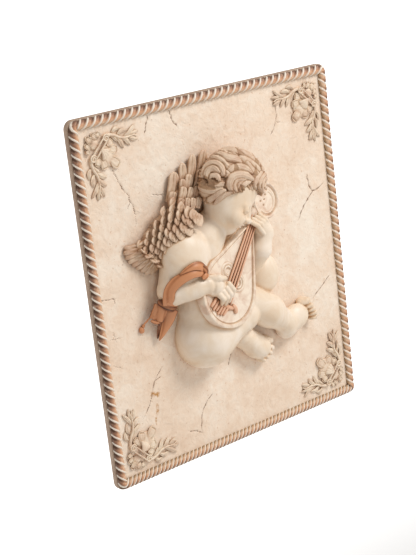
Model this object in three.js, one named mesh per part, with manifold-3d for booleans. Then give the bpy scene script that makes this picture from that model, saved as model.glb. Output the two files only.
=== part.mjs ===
// Cherub wall plaque: one moulded casting, in millimetres, +Z up, front towards -Y.
// A rectangular slab with a rope border, a rocaille shell with leaf sprays in each corner
// and, in high relief, a winged child who sits bowed over a lute.
// Everything is drawn in a wall frame first: x to the right, y up the wall, z out of the wall
// from the back face. The finished casting is then stood up against the wall.
import * as THREE from 'three';
import { mergeVertices } from 'three/addons/utils/BufferGeometryUtils.js';
import Module from 'manifold-3d';

const wasm = await Module();
wasm.setup();

// Slab
const plaqueWidth = 300;
const plaqueHeight = 334;
const slabThickness = 6;
const slabCornerRadius = 8;

// Rope border: lobes of a twisted rope, flush with the slab's edge
const ropeDiameter = 10;
const ropeSetback = 0.3;
const ropeLobePitch = 7.8;
const ropeLobeSlant = 5;
const ropeGrooveDepth = 1.3;
const ropeLobeSwell = 0.2;
const ropeSides = 6;

// Corner ornament: a shell with a bar across it and a leaf spray along each edge
const ornamentRelief = 4.5;
const shellInset = 32;
const shellRadius = 14;
const shellLobeCount = 5;
const shellLobeWidth = 7;
const scrollRadius = 4;
const barWidth = 4;
const stemWidth = 4;
const leafWidth = 6;
const leafSink = 0.5;

// Figure: its pose is drawn at drawnHeight and follows figureHeight
const figureHeight = 214;
const drawnHeight = 214;
const figureX = 0;
const figureY = 0;

// Lute
const luteBowlRadius = 34;
const luteDepth = 13;
const luteRimWidth = 5;
const luteRimHeight = 1.6;
const luteNeckWidth = 10;
const luteShoulderLength = 62;
const luteHeadRadius = 16;
const luteHeadOffset = 7.4;
const luteHeadReach = 97;
const luteHeadDepth = 16;
const lutePlace = [-21.7, -9.6, 30];
const luteTurn = -41.5;
const luteTilt = 10;
const bridgeLength = 20;
const bridgeWidth = 5;
const bridgeFromCentre = -18;
const stringEnd = 74;
const stringCount = 4;
const stringWidth = 1.6;
const stringHeight = 1.8;
const stringSpreadAtBridge = 11;
const stringSpreadAtNeck = 7.5;

// Ribbon
const ribbonWidth = 9;
const ribbonTailRise = 8;

// Joints between forms are true to this much
const joinTolerance = 0.1;

const figureScale = figureHeight / drawnHeight;

// Closed geometry to a solid
function solid(geometry) {
  geometry.deleteAttribute('normal');
  geometry.deleteAttribute('uv');
  const merged = mergeVertices(geometry, 1e-4);
  return new wasm.Manifold(new wasm.Mesh({
    numProp: 3,
    vertProperties: new Float32Array(merged.attributes.position.array),
    triVerts: new Uint32Array(merged.index.array),
    tolerance: joinTolerance,
  }));
}

function join(solids) {
  return solids.reduce((whole, piece) => whole.add(piece));
}

// Place of a drawn figure point, given as x, y and its rise above the panel ground
function place(x, y, rise) {
  return new THREE.Vector3(
    figureX + x * figureScale,
    figureY + y * figureScale,
    slabThickness + rise * figureScale,
  );
}

// Round form: an ellipsoid with its own turn in the wall plane
function ball(x, y, rise, rx, ry, rz, turn = 0, sides = 8, rows = 6) {
  const geometry = new THREE.SphereGeometry(1, sides, rows);
  const stretch = new THREE.Matrix4().makeScale(rx * figureScale, ry * figureScale, rz * figureScale);
  const spin = new THREE.Matrix4().makeRotationZ(THREE.MathUtils.degToRad(turn));
  geometry.applyMatrix4(new THREE.Matrix4().makeRotationX(Math.PI / 2));
  geometry.applyMatrix4(stretch);
  geometry.applyMatrix4(spin);
  const centre = place(x, y, rise);
  geometry.translate(centre.x, centre.y, centre.z);
  return solid(geometry);
}

// Limb: a tapered round bar with ball ends between two drawn points
function limb(from, to, startRadius, endRadius, sides = 8, steps = 2) {
  const start = place(...from);
  const end = place(...to);
  const axis = end.clone().sub(start);
  const length = axis.length();
  const r0 = startRadius * figureScale;
  const r1 = endRadius * figureScale;
  const lean = Math.asin((r0 - r1) / length);
  const profile = [];
  for (let i = 0; i <= steps; i += 1) {
    const angle = -Math.PI / 2 + (lean + Math.PI / 2) * (i / steps);
    profile.push(new THREE.Vector2(i === 0 ? 0 : r0 * Math.cos(angle), r0 * Math.sin(angle)));
  }
  for (let i = 0; i <= steps; i += 1) {
    const angle = lean + (Math.PI / 2 - lean) * (i / steps);
    profile.push(new THREE.Vector2(i === steps ? 0 : r1 * Math.cos(angle), length + r1 * Math.sin(angle)));
  }
  const geometry = new THREE.LatheGeometry(profile, sides);
  const up = new THREE.Vector3(0, 1, 0);
  geometry.applyQuaternion(new THREE.Quaternion().setFromUnitVectors(up, axis.normalize()));
  geometry.translate(start.x, start.y, start.z);
  return solid(geometry);
}

// Rounded rectangle of the slab
function slabOutline() {
  const w = plaqueWidth / 2;
  const h = plaqueHeight / 2;
  const r = slabCornerRadius;
  const outline = new THREE.Shape();
  outline.moveTo(-w + r, -h);
  outline.lineTo(w - r, -h);
  outline.absarc(w - r, -h + r, r, -Math.PI / 2, 0);
  outline.lineTo(w, h - r);
  outline.absarc(w - r, h - r, r, 0, Math.PI / 2);
  outline.lineTo(-w + r, h);
  outline.absarc(-w + r, h - r, r, Math.PI / 2, Math.PI);
  outline.lineTo(-w, -h + r);
  outline.absarc(-w + r, -h + r, r, Math.PI, Math.PI * 1.5);
  return outline;
}

function makeSlab() {
  return solid(new THREE.ExtrudeGeometry(slabOutline(), {
    depth: slabThickness,
    bevelEnabled: false,
    curveSegments: 4,
  }));
}

// Centre line of the rope: a point and an outward direction at a distance along it,
// counted counter-clockwise from the middle of the right side
function ropePath(distance) {
  const inset = ropeDiameter / 2 + ropeSetback;
  const bend = Math.max(slabCornerRadius - inset, 0.5);
  const halfW = plaqueWidth / 2 - inset - bend;
  const halfH = plaqueHeight / 2 - inset - bend;
  const arc = bend * Math.PI / 2;
  const runs = [halfH, arc, 2 * halfW, arc, 2 * halfH, arc, 2 * halfW, arc, halfH];
  const total = runs.reduce((sum, run) => sum + run, 0);
  let rest = ((distance % total) + total) % total;
  let index = 0;
  while (index < runs.length - 1 && rest > runs[index]) {
    rest -= runs[index];
    index += 1;
  }
  const quarter = Math.floor((index + 1) / 2) % 4;
  const isArc = index % 2 === 1;
  const heading = isArc ? (index - 1) / 2 * Math.PI / 2 + rest / bend : quarter * Math.PI / 2;
  const outward = new THREE.Vector2(Math.cos(heading), Math.sin(heading));
  if (isArc) {
    const corners = [[1, 1], [-1, 1], [-1, -1], [1, -1]];
    const [sx, sy] = corners[(index - 1) / 2];
    const centre = new THREE.Vector2(sx * halfW, sy * halfH);
    return { point: centre.addScaledVector(outward, bend), outward, total };
  }
  const along = new THREE.Vector2(-outward.y, outward.x);
  const half = quarter % 2 === 0 ? halfH : halfW;
  const reach = quarter % 2 === 0 ? halfW + bend : halfH + bend;
  const start = index === 0 ? 0 : -half;
  const point = outward.clone().multiplyScalar(reach).addScaledVector(along, start + rest);
  return { point, outward, total };
}

// The rope is a ring whose lobes lean over it: every second section is a groove.
// The lobes were modelled by hand, so they swell a little more or less from one to the next.
function makeRope() {
  const total = ropePath(0).total;
  const lobes = Math.round(total / ropeLobePitch);
  const sections = lobes * 2;
  const ring = new THREE.TorusGeometry(100, ropeDiameter / 2, ropeSides, sections);
  const position = ring.attributes.position;
  for (let j = 0; j <= ropeSides; j += 1) {
    const turn = ((j % ropeSides) / ropeSides) * Math.PI * 2;
    const fold = turn > Math.PI ? Math.PI * 2 - turn : turn;
    const lean = ropeLobeSlant * (fold / Math.PI - 0.5);
    for (let i = 0; i <= sections; i += 1) {
      const step = i % sections;
      const swell = ropeLobeSwell * Math.sin(step * 2.1);
      const radius = ropeDiameter / 2 + swell - (step % 2 === 0 ? 0 : ropeGrooveDepth);
      const { point, outward } = ropePath((step / sections) * total + lean);
      const out = radius * Math.cos(turn);
      position.setXYZ(
        j * (sections + 1) + i,
        point.x + outward.x * out,
        point.y + outward.y * out,
        slabThickness + radius * Math.sin(turn),
      );
    }
  }
  return solid(ring);
}

// Leaf or lobe lying on the panel from its base to its tip: a stretched octahedron with a ridge
function leaf(base, tip, width, rise) {
  const length = Math.hypot(tip[0] - base[0], tip[1] - base[1]);
  const geometry = new THREE.OctahedronGeometry(1, 0);
  geometry.scale(length / 2, width / 2, rise);
  geometry.rotateZ(Math.atan2(tip[1] - base[1], tip[0] - base[0]));
  geometry.translate((base[0] + tip[0]) / 2, (base[1] + tip[1]) / 2, slabThickness - leafSink);
  return solid(geometry);
}

// Round boss lying on the panel
function boss(x, y, radius, rise) {
  const geometry = new THREE.SphereGeometry(1, 6, 4);
  geometry.rotateX(Math.PI / 2);
  geometry.scale(radius, radius, rise);
  geometry.translate(x, y, slabThickness - leafSink);
  return solid(geometry);
}

// Half of one ornament: leaf spray, scroll and outer lobes on one side of the corner's diagonal.
// Points are measured from the plaque's corner: along the edge first, then away from it.
function ornamentHalf(put) {
  const forms = [];
  const stem = [[34, 18], [54, 21], [69, 22], [73, 13]];
  for (let i = 0; i < stem.length - 1; i += 1) {
    forms.push(leaf(put(stem[i]), put(stem[i + 1]), stemWidth, ornamentRelief * 0.7));
  }
  const leaves = [[[43, 20], [53, 31]], [[53, 21], [62, 31]], [[58, 20], [66, 14]]];
  leaves.forEach(([base, tip]) => forms.push(leaf(put(base), put(tip), leafWidth, ornamentRelief * 0.6)));
  const [scrollX, scrollY] = put([36, 18]);
  forms.push(boss(scrollX, scrollY, scrollRadius, ornamentRelief));
  forms.push(leaf(put([31, 22]), put([22, 14]), shellLobeWidth, ornamentRelief * 0.7));
  return forms;
}

// One corner ornament; the signs choose the corner
function cornerOrnament(signX, signY) {
  const corner = (along, away) => [signX * (plaqueWidth / 2 - along), signY * (plaqueHeight / 2 - away)];
  const centre = [shellInset, shellInset];
  const [x, y] = corner(...centre);
  const forms = [
    ...ornamentHalf(([along, away]) => corner(along, away)),
    ...ornamentHalf(([along, away]) => corner(away, along)),
    boss(x, y, shellRadius * 0.55, ornamentRelief * 0.8),
    leaf(corner(36, 22), corner(22, 36), barWidth, ornamentRelief * 1.1),
    leaf(corner(40, 40), corner(50, 50), shellLobeWidth, ornamentRelief * 0.6),
  ];
  for (let i = 0; i < shellLobeCount; i += 1) {
    const angle = THREE.MathUtils.degToRad(-38 + 166 * (i / (shellLobeCount - 1)));
    const ray = (share) => corner(
      centre[0] + Math.cos(angle) * shellRadius * share,
      centre[1] + Math.sin(angle) * shellRadius * share,
    );
    forms.push(leaf(ray(0.3), ray(1), shellLobeWidth, ornamentRelief * 0.8));
  }
  return forms;
}

function makeOrnaments() {
  return [
    ...cornerOrnament(1, 1),
    ...cornerOrnament(-1, 1),
    ...cornerOrnament(-1, -1),
    ...cornerOrnament(1, -1),
  ];
}

// Child: trunk, near arm, legs and far arm
function makeBody() {
  return [
    limb([-30, 34, 6], [-38, -25, 6], 20, 23),
    limb([-10, 56, 13], [-30, 34, 8], 14, 18),
    ball(4, 22, 6, 20, 16, 14, 40),
    ball(-54, 29.5, 14, 26, 24.5, 18, 0, 10, 6),
    limb([-61, 18, 14], [-73, 2, 14], 19, 14),
    limb([-74, 1, 17], [-47, 3, 31], 10.5, 8),
    ball(-37, -50, 6, 30.5, 31.5, 26, 0, 12, 6),
    limb([-34, -50, 4], [4, -42, 12], 27, 17),
    limb([12, -30, 11], [35, -47, 14], 15, 15),
    limb([35, -47, 14], [58, -65, 10], 15, 10.5),
    ball(36, -11.5, 8, 17, 20, 13),
    limb([36.5, 4, 10], [39, 31, 14], 12, 10),
  ];
}

function makeHands() {
  const forms = [ball(-38, -1, 34, 10, 8.5, 7, -35, 8, 5)];
  const knuckles = [[-35.6, -8], [-31.6, -7], [-27.6, -5], [-23.6, -3]];
  const tips = [[-30.5, -19], [-26.5, -20], [-22.5, -18], [-18.5, -15]];
  knuckles.forEach((knuckle, i) => {
    forms.push(limb([...knuckle, 35], [...tips[i], 34], 2.9, 2.5, 4, 1));
  });
  forms.push(limb([-39.6, 7, 35], [-27.6, 4, 36], 3.4, 2.8, 5, 1));
  for (let i = 0; i < 4; i += 1) {
    forms.push(limb([24 + i * 4.5, 46 - i * 1.5, 22], [31 + i * 4, 32 - i * 0.5, 22], 2.8, 2.8, 4, 1));
  }
  return forms;
}

function makeFeet() {
  const forms = [
    ball(61, -74, 7, 10, 9, 9, 0, 8, 5),
    ball(76, -65.6, 5, 20, 13, 10, 5, 9, 5),
    limb([6, -64, 6], [26, -82, 5], 11.5, 11),
  ];
  const farToes = [[90, -51], [93, -57], [95, -62.5], [97, -67], [99, -71]];
  farToes.forEach(([x, y], i) => forms.push(ball(x, y, 3, 5, 3.7 - i * 0.25, 6, 0, 5, 3)));
  const nearToes = [[38.5, -78], [38, -85.5], [35, -89.5], [30.5, -92.5], [25.5, -94.5]];
  nearToes.forEach(([x, y], i) => forms.push(ball(x, y, 3, 6, 3.9 - i * 0.3, 6, -40 - i * 8, 5, 3)));
  return forms;
}

// Head: the hair's dome with raised locks over it, the face and the chin
const dome = { x: 3, y: 84, rise: 20, rx: 34, ry: 30, rz: 22 };

function domeRise(x, y) {
  const rest = 1 - ((x - dome.x) / dome.rx) ** 2 - ((y - dome.y) / dome.ry) ** 2;
  return dome.rise + dome.rz * Math.sqrt(Math.max(rest, 0));
}

// Lock of hair: a tapered row of segments over the dome through drawn points
function lock(points, radius) {
  const path = new THREE.CatmullRomCurve3(points.map(([x, y]) => place(x, y, domeRise(x, y))));
  const section = new THREE.Shape();
  const sides = 4;
  for (let i = 0; i < sides; i += 1) {
    const angle = (i / sides) * Math.PI * 2;
    const x = radius * figureScale * Math.cos(angle);
    const y = radius * figureScale * Math.sin(angle);
    if (i === 0) section.moveTo(x, y);
    else section.lineTo(x, y);
  }
  return solid(new THREE.ExtrudeGeometry(section, { steps: 3, extrudePath: path }));
}

function makeHead() {
  return [
    ball(dome.x, dome.y, dome.rise, dome.rx, dome.ry, dome.rz, 0, 12, 6),
    ball(-5, 61, 22, 22, 21, 18),
    ball(-2, 47, 26, 8, 7, 8, 0, 8, 5),
    lock([[-12, 104], [-24, 106], [-29, 96], [-22, 88], [-13, 92]], 3.4),
    lock([[8, 80], [4, 92], [-8, 94], [-13, 84], [-6, 77]], 3.4),
    lock([[16, 106], [2, 104], [-8, 100]], 3.2),
    lock([[30, 88], [20, 92], [9, 90]], 3),
    lock([[-27, 80], [-18, 76], [-8, 70]], 3.2),
    lock([[32, 74], [26, 82], [16, 82]], 3),
  ];
}

// Feather: a flat round-ended form from its root to its tip
function feather(root, tip, width, thickness) {
  const middle = root.map((value, i) => (value + tip[i]) / 2);
  const length = Math.hypot(tip[0] - root[0], tip[1] - root[1]);
  const turn = THREE.MathUtils.radToDeg(Math.atan2(tip[1] - root[1], tip[0] - root[0]));
  return ball(...middle, length / 2, width / 2, thickness, turn, 7, 3);
}

// Raised wing: long feathers stand up from the shoulder and a shorter row lies over their roots
function makeRaisedWing() {
  const forms = [ball(-44, 76, 10, 16, 13, 9, 20, 8, 5)];
  for (let i = 0; i < 4; i += 1) {
    const root = [-54 + i * 7, 74 + i * 3, 7];
    const tip = [-52 + i * 12, 105 + i * 6 - i * i * 0.7, 6];
    forms.push(feather(root, tip, 10.5, 5));
  }
  for (let i = 0; i < 2; i += 1) {
    forms.push(feather([-51 + i * 12, 68 + i * 3, 13], [-48 + i * 16, 92 + i * 4, 9], 11, 5));
  }
  return forms;
}

// Lowered wing: rows of overlapping covert feathers and a fan of flight feathers at the tip
function makeLoweredWing() {
  const forms = [
    limb([-52, 66, 15], [-74, 56, 11], 13, 11),
    limb([-74, 56, 11], [-92, 41, 3], 11, 9),
  ];
  for (let i = 0; i < 4; i += 1) {
    const angle = THREE.MathUtils.degToRad(167 + i * 20);
    const reach = 33 - i * 2;
    const root = [-82 + i * 2.5, 42 - i * 2.5, 5];
    const tip = [root[0] + Math.cos(angle) * reach, root[1] + Math.sin(angle) * reach * 0.8, 2];
    forms.push(feather(root, tip, 9, 4.5));
  }
  for (let row = 0; row < 2; row += 1) {
    for (let i = 0; i < 3; i += 1) {
      const x = -49 - i * 13 + row * 5;
      const y = 68 - i * 9.5 - row * 9;
      forms.push(feather([x, y, 25 - i * 5 - row], [x - 11, y - 14, 22 - i * 5.4 - row], 13, 5));
    }
  }
  return forms;
}

// Lute: drawn on its own axis, y from the tail to the head, the rim's face at z = 0
function luteOutline(shrink) {
  const radius = luteBowlRadius - shrink;
  const neck = luteNeckWidth / 2 - shrink * 0.3;
  const reach = luteShoulderLength - shrink * 1.6;
  const toTangent = Math.atan2(neck, reach) + Math.acos(radius / Math.hypot(neck, reach));
  const start = Math.PI / 2 - toTangent;
  const outline = new THREE.Shape();
  outline.moveTo(neck, reach);
  outline.lineTo(-neck, reach);
  outline.absarc(0, 0, radius, Math.PI - start, start + Math.PI * 2);
  return outline;
}

function circleOutline(x, y, radius) {
  const outline = new THREE.Shape();
  outline.absarc(x, y, radius, 0, Math.PI * 2);
  return outline;
}

function board(outline, from, to, segments = 10) {
  const geometry = new THREE.ExtrudeGeometry(outline, {
    depth: to - from,
    bevelEnabled: false,
    curveSegments: segments,
  });
  geometry.translate(0, 0, from);
  return solid(geometry);
}

function box(width, length, height, x, y, z, turn = 0) {
  const geometry = new THREE.BoxGeometry(width, length, height);
  geometry.rotateZ(THREE.MathUtils.degToRad(turn));
  geometry.translate(x, y, z);
  return solid(geometry);
}

function makeLute() {
  const cut = luteRimHeight + 5;
  const bowl = board(luteOutline(0), -luteDepth, 0, 12)
    .subtract(board(luteOutline(luteRimWidth), -luteRimHeight, cut, 12));
  const headBoard = board(circleOutline(luteHeadOffset, luteHeadReach, luteHeadRadius), -luteHeadDepth, 0)
    .subtract(board(circleOutline(luteHeadOffset, luteHeadReach, luteHeadRadius - 2.5), -1, cut));
  const neckEnd = luteHeadReach - luteHeadRadius * 0.8;
  const neckLength = neckEnd - luteShoulderLength + 6;
  const forms = [
    bowl,
    headBoard,
    box(luteNeckWidth, neckLength, luteHeadDepth, 1, neckEnd - neckLength / 2, -luteHeadDepth / 2 - 0.4),
    box(bridgeLength, bridgeWidth, 3, 0, bridgeFromCentre, -luteRimHeight + 0.7, 8),
  ];
  for (let i = 0; i < stringCount; i += 1) {
    const side = i / (stringCount - 1) - 0.5;
    const low = side * stringSpreadAtBridge;
    const high = side * stringSpreadAtNeck;
    const length = stringEnd - bridgeFromCentre;
    const lean = THREE.MathUtils.radToDeg(Math.atan2(low - high, length));
    const rise = -luteRimHeight + stringHeight / 2;
    forms.push(box(stringWidth, length, stringHeight + 1, (low + high) / 2, bridgeFromCentre + length / 2, rise, lean));
  }
  const matrix = new THREE.Matrix4().makeTranslation(place(...lutePlace))
    .multiply(new THREE.Matrix4().makeRotationZ(THREE.MathUtils.degToRad(luteTurn)))
    .multiply(new THREE.Matrix4().makeRotationX(THREE.MathUtils.degToRad(-luteTilt)))
    .multiply(new THREE.Matrix4().makeScale(figureScale, figureScale, figureScale));
  const lute = join(forms);
  const mesh = lute.getMesh();
  const geometry = new THREE.BufferGeometry();
  geometry.setAttribute('position', new THREE.BufferAttribute(new Float32Array(mesh.vertProperties), 3));
  geometry.setIndex(new THREE.BufferAttribute(new Uint32Array(mesh.triVerts), 1));
  geometry.applyMatrix4(matrix);
  return [solid(geometry)];
}

// Ribbon: a band wound round the near arm and a swallow tail behind the elbow
function makeRibbon() {
  const route = [[-52, 17, 29], [-72, 18, 27], [-84, 9, 18], [-84, -8, 11]];
  const half = ribbonWidth / 2 / figureScale;
  const forms = [];
  for (let i = 0; i < route.length - 1; i += 1) {
    forms.push(limb(route[i], route[i + 1], half, half, 5, 1));
  }
  const tail = new THREE.Shape();
  const corners = [[-84, -6], [-92, -14], [-96, -20], [-86, -28], [-91, -40], [-66, -21], [-78, -9]];
  corners.forEach(([x, y], i) => {
    const spot = place(x, y, 0);
    if (i === 0) tail.moveTo(spot.x, spot.y);
    else tail.lineTo(spot.x, spot.y);
  });
  forms.push(board(tail, slabThickness / 2, slabThickness + ribbonTailRise * figureScale));
  return forms;
}

function plainGeometry(casting) {
  const mesh = casting.getMesh();
  const geometry = new THREE.BufferGeometry();
  geometry.setAttribute('position', new THREE.BufferAttribute(new Float32Array(mesh.vertProperties), 3));
  geometry.setIndex(new THREE.BufferAttribute(new Uint32Array(mesh.triVerts), 1));
  geometry.computeVertexNormals();
  return geometry;
}

const figure = join([
  ...makeBody(),
  ...makeHead(),
  ...makeRaisedWing(),
  ...makeLoweredWing(),
  ...makeLute(),
  ...makeHands(),
  ...makeFeet(),
  ...makeRibbon(),
]);
const rear = box(plaqueWidth * 2, plaqueHeight * 2, 200, 0, 0, slabThickness / 2 - 100);
const relief = join([makeSlab(), makeRope(), ...makeOrnaments()]).add(figure.subtract(rear));
// Pockets closed off between the figure's forms are solid material, so only the outer skin stays
const casting = relief.decompose().reduce((best, skin) => (skin.volume() > best.volume() ? skin : best));

const antiqueIvory = new THREE.MeshStandardMaterial({ color: 0xe6d3bd, roughness: 0.55, metalness: 0 });
const plaque = new THREE.Mesh(plainGeometry(casting), antiqueIvory);
plaque.name = 'plaque';
plaque.rotation.x = Math.PI / 2;

const group = new THREE.Group();
group.add(plaque);

export default group;
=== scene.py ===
"""Cherub wall plaque: an antiqued cast relief with a rope border, shell corners and a winged child
bowed over a lute. Every piece is drawn on the wall in millimetres (x to the right, y up, z out of
the panel's ground) and stood up into the part's frame when it is done."""

import math

import bmesh
import bpy
import numpy as np
from mathutils import Matrix, Vector, noise
from mathutils.bvhtree import BVHTree


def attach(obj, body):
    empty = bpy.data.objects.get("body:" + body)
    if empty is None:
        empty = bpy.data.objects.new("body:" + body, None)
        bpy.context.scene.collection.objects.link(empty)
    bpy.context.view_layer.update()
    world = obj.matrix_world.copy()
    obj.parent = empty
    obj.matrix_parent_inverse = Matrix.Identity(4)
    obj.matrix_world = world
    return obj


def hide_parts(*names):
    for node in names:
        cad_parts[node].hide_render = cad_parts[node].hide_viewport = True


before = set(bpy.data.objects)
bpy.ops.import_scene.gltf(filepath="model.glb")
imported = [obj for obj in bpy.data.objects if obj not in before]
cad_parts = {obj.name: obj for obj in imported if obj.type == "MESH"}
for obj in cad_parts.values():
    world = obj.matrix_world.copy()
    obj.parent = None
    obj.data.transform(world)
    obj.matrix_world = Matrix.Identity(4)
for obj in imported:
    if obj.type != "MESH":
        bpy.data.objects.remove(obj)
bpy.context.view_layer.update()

# Sizes in millimetres: the panel's height over the wall, the slab and the rope round it
GROUND = 6.0
WIDTH = 300.0
HEIGHT = 334.0
CORNER_RADIUS = 8.0
ROPE_RADIUS = 5.0
ROPE_INSET = 5.3
ROPE_PITCH = 7.8
FINE_PITCH = 4.7
ROPE_SLANT = 9.5
TO_ROW = (
    Matrix.Rotation(math.pi / 2, 4, "X")
    @ Matrix.Scale(0.001, 4)
    @ Matrix.Translation((0, 0, GROUND))
)


# Looks

def srgb(red, green, blue):
    """A colour given from 0 to 255, as linear light."""
    return (
        tuple(((c / 255 + 0.055) / 1.055) ** 2.4 if c > 10 else c / 3294.6 for c in (red, green, blue))
        + (1,)
    )


class Finish:
    """A painted and antiqued casting surface, built up from nodes on Object coordinates."""

    def __init__(self, name):
        self.material = bpy.data.materials.new(name)
        self.material.use_nodes = True
        self.tree = self.material.node_tree
        self.shader = self.tree.nodes["Principled BSDF"]
        self.where = self.tree.nodes.new("ShaderNodeTexCoord").outputs["Object"]

    def node(self, kind, inputs=(), **settings):
        made = self.tree.nodes.new(kind)
        for key, value in settings.items():
            setattr(made, key, value)
        for key, value in dict(inputs).items():
            if isinstance(value, bpy.types.NodeSocket):
                self.tree.links.new(value, made.inputs[key])
            else:
                made.inputs[key].default_value = value
        return made

    def cloud(self, size_mm, detail=4.0, rough=0.55, warp=0.0):
        inputs = {
            "Vector": self.where, "Scale": 1000.0 / size_mm, "Detail": detail, "Roughness": rough,
            "Distortion": warp
        }
        return self.node("ShaderNodeTexNoise", inputs).outputs["Fac"]

    def ramp(self, value, *stops):
        made = self.node("ShaderNodeValToRGB", {"Fac": value})
        band = made.color_ramp
        while len(band.elements) < len(stops):
            band.elements.new(0.5)
        for element, (place, colour) in zip(band.elements, stops):
            element.position = place
            element.color = colour
        return made.outputs["Color"]

    def level(self, value, low, high, to_low=0.0, to_high=1.0):
        inputs = {"Value": value, "From Min": low, "From Max": high, "To Min": to_low, "To Max": to_high}
        return self.node("ShaderNodeMapRange", inputs, clamp=True).outputs["Result"]

    def math(self, operation, first, second=0.0):
        return self.node("ShaderNodeMath", {0: first, 1: second}, operation=operation).outputs[0]

    def mark(self, name):
        return self.node("ShaderNodeAttribute", attribute_name=name).outputs["Fac"]

    def mix(self, share, first, second, blend="MIX"):
        made = self.node("ShaderNodeMix", data_type="RGBA", blend_type=blend)
        for socket, value in ((made.inputs[0], share), (made.inputs[6], first), (made.inputs[7], second)):
            if isinstance(value, bpy.types.NodeSocket):
                self.tree.links.new(value, socket)
            else:
                socket.default_value = value
        return made.outputs[2]

    def done(self, colour, roughness, bumps, coat=0.0):
        """bumps is a list of (height socket, depth in mm), coarse first."""
        self.tree.links.new(colour, self.shader.inputs["Base Color"])
        self.tree.links.new(roughness, self.shader.inputs["Roughness"])
        self.shader.inputs["Coat Weight"].default_value = coat
        self.shader.inputs["Coat Roughness"].default_value = 0.35
        self.shader.inputs["Specular IOR Level"].default_value = 0.4
        normal = None
        for height, depth_mm in bumps:
            bump = self.node(
                "ShaderNodeBump", {"Height": height, "Strength": 1.0, "Distance": depth_mm / 1000}
            )
            if normal is not None:
                self.tree.links.new(normal, bump.inputs["Normal"])
            normal = bump.outputs["Normal"]
        if normal is not None:
            self.tree.links.new(normal, self.shader.inputs["Normal"])
        return self.material


def panel_finish():
    look = Finish("panel_plaster_wash")
    broad = look.cloud(70, 5, 0.6, 0.6)
    blotch = look.cloud(11, 7, 0.7, 1.0)
    base = look.ramp(
        look.math("ADD", look.math("MULTIPLY", broad, 0.55), look.math("MULTIPLY", blotch, 0.45)),
        (0.34, srgb(230, 202, 176)),
        (0.47, srgb(240, 217, 194)),
        (0.58, srgb(245, 228, 209)),
        (0.72, srgb(250, 239, 222)),
    )
    specks = look.ramp(look.cloud(3.2, 2, 0.5), (0.66, (1, 1, 1, 1)), (0.74, srgb(214, 184, 158)))
    base = look.mix(0.55, base, specks, "MULTIPLY")
    # Soiling and painted shade: the panel turns brown where the wash-and-shade mark is high, round the
    # figure, the rope and the corner ornaments.
    soiling_and_shade = look.level(
        look.math("ADD", look.mark("wash_and_shade"), look.math("MULTIPLY", look.cloud(7, 4), 0.25)), 0.46, 1.15
    )
    base = look.mix(soiling_and_shade, base, srgb(186, 146, 108))
    rust = look.level(look.math("MULTIPLY", look.mark("stain"), look.cloud(2.4, 5, 0.7)), 0.28, 0.5)
    base = look.mix(rust, base, srgb(188, 132, 66))
    base = look.mix(
        look.mark("edge"), base,
        look.ramp(look.cloud(12, 4, 0.6), (0.35, srgb(166, 138, 116)), (0.65, srgb(190, 164, 142)))
    )
    cracked = look.level(look.mark("crack"), 0.25, 0.85)
    base = look.mix(cracked, base, srgb(124, 86, 56))
    rough = look.level(blotch, 0.3, 0.7, 0.52, 0.68)
    return look.done(base, rough, [(look.cloud(9, 5, 0.6, 0.8), 1.15), (look.cloud(2.2, 4), 0.24)])


def skin_finish():
    look = Finish("skin_ivory_satin")
    tone = look.ramp(
        look.cloud(26, 5, 0.6, 0.5),
        (0.32, srgb(232, 206, 176)),
        (0.5, srgb(240, 220, 196)),
        (0.66, srgb(247, 231, 213)),
    )
    # Painted shade with some antique wash: the skin turns warm tan, then deep brown, where the
    # wash-and-shade mark is high, in creases and where forms close over each other.
    hollow = look.math("ADD", look.mark("wash_and_shade"), look.math("MULTIPLY", look.cloud(9, 4), 0.16))
    tone = look.mix(look.level(hollow, 0.2, 0.62), tone, srgb(214, 176, 134))
    tone = look.mix(look.level(hollow, 0.66, 1.0), tone, srgb(140, 98, 60))
    rough = look.level(look.cloud(14, 3), 0.35, 0.65, 0.36, 0.5)
    return look.done(tone, rough, [(look.cloud(5, 4), 0.1), (look.cloud(1.1, 2), 0.025)], coat=0.12)


def carved_finish(name, high, middle, low, start=0.2, full=0.85):
    """Paint rubbed off the crests and left dark in the cuts, with painted shade laid into the same cuts and
    recesses through the wash-and-shade mark.
    """
    look = Finish(name)
    wash_and_shade = look.math(
        "ADD", look.mark("wash_and_shade"),
        look.math("MULTIPLY", look.math("SUBTRACT", look.cloud(5, 5, 0.65), 0.5), 0.55)
    )
    tone = look.ramp(wash_and_shade, (start, high), (start + (full - start) * 0.42, middle), (full, low))
    warm = look.level(look.cloud(13, 4, 0.6, 0.8), 0.42, 0.66, 0.0, 0.45)
    tone = look.mix(warm, tone, srgb(198, 150, 118), "MULTIPLY")
    rough = look.level(look.cloud(6, 3), 0.35, 0.65, 0.44, 0.62)
    return look.done(tone, rough, [(look.cloud(2.2, 4), 0.16), (look.cloud(0.9, 2), 0.04)], coat=0.05)


def copper_finish(name, high, middle, low):
    look = Finish(name)
    # Wash and painted shade: the copper darkens in folds, along edges and where bands lie under others.
    wash_and_shade = look.math(
        "ADD", look.mark("wash_and_shade"),
        look.math("MULTIPLY", look.math("SUBTRACT", look.cloud(4, 5, 0.6), 0.5), 0.45)
    )
    tone = look.ramp(wash_and_shade, (0.1, high), (0.38, middle), (0.85, low))
    rough = look.level(look.cloud(3, 3), 0.35, 0.65, 0.34, 0.52)
    return look.done(tone, rough, [(look.cloud(2.5, 4), 0.12)], coat=0.1)


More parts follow.
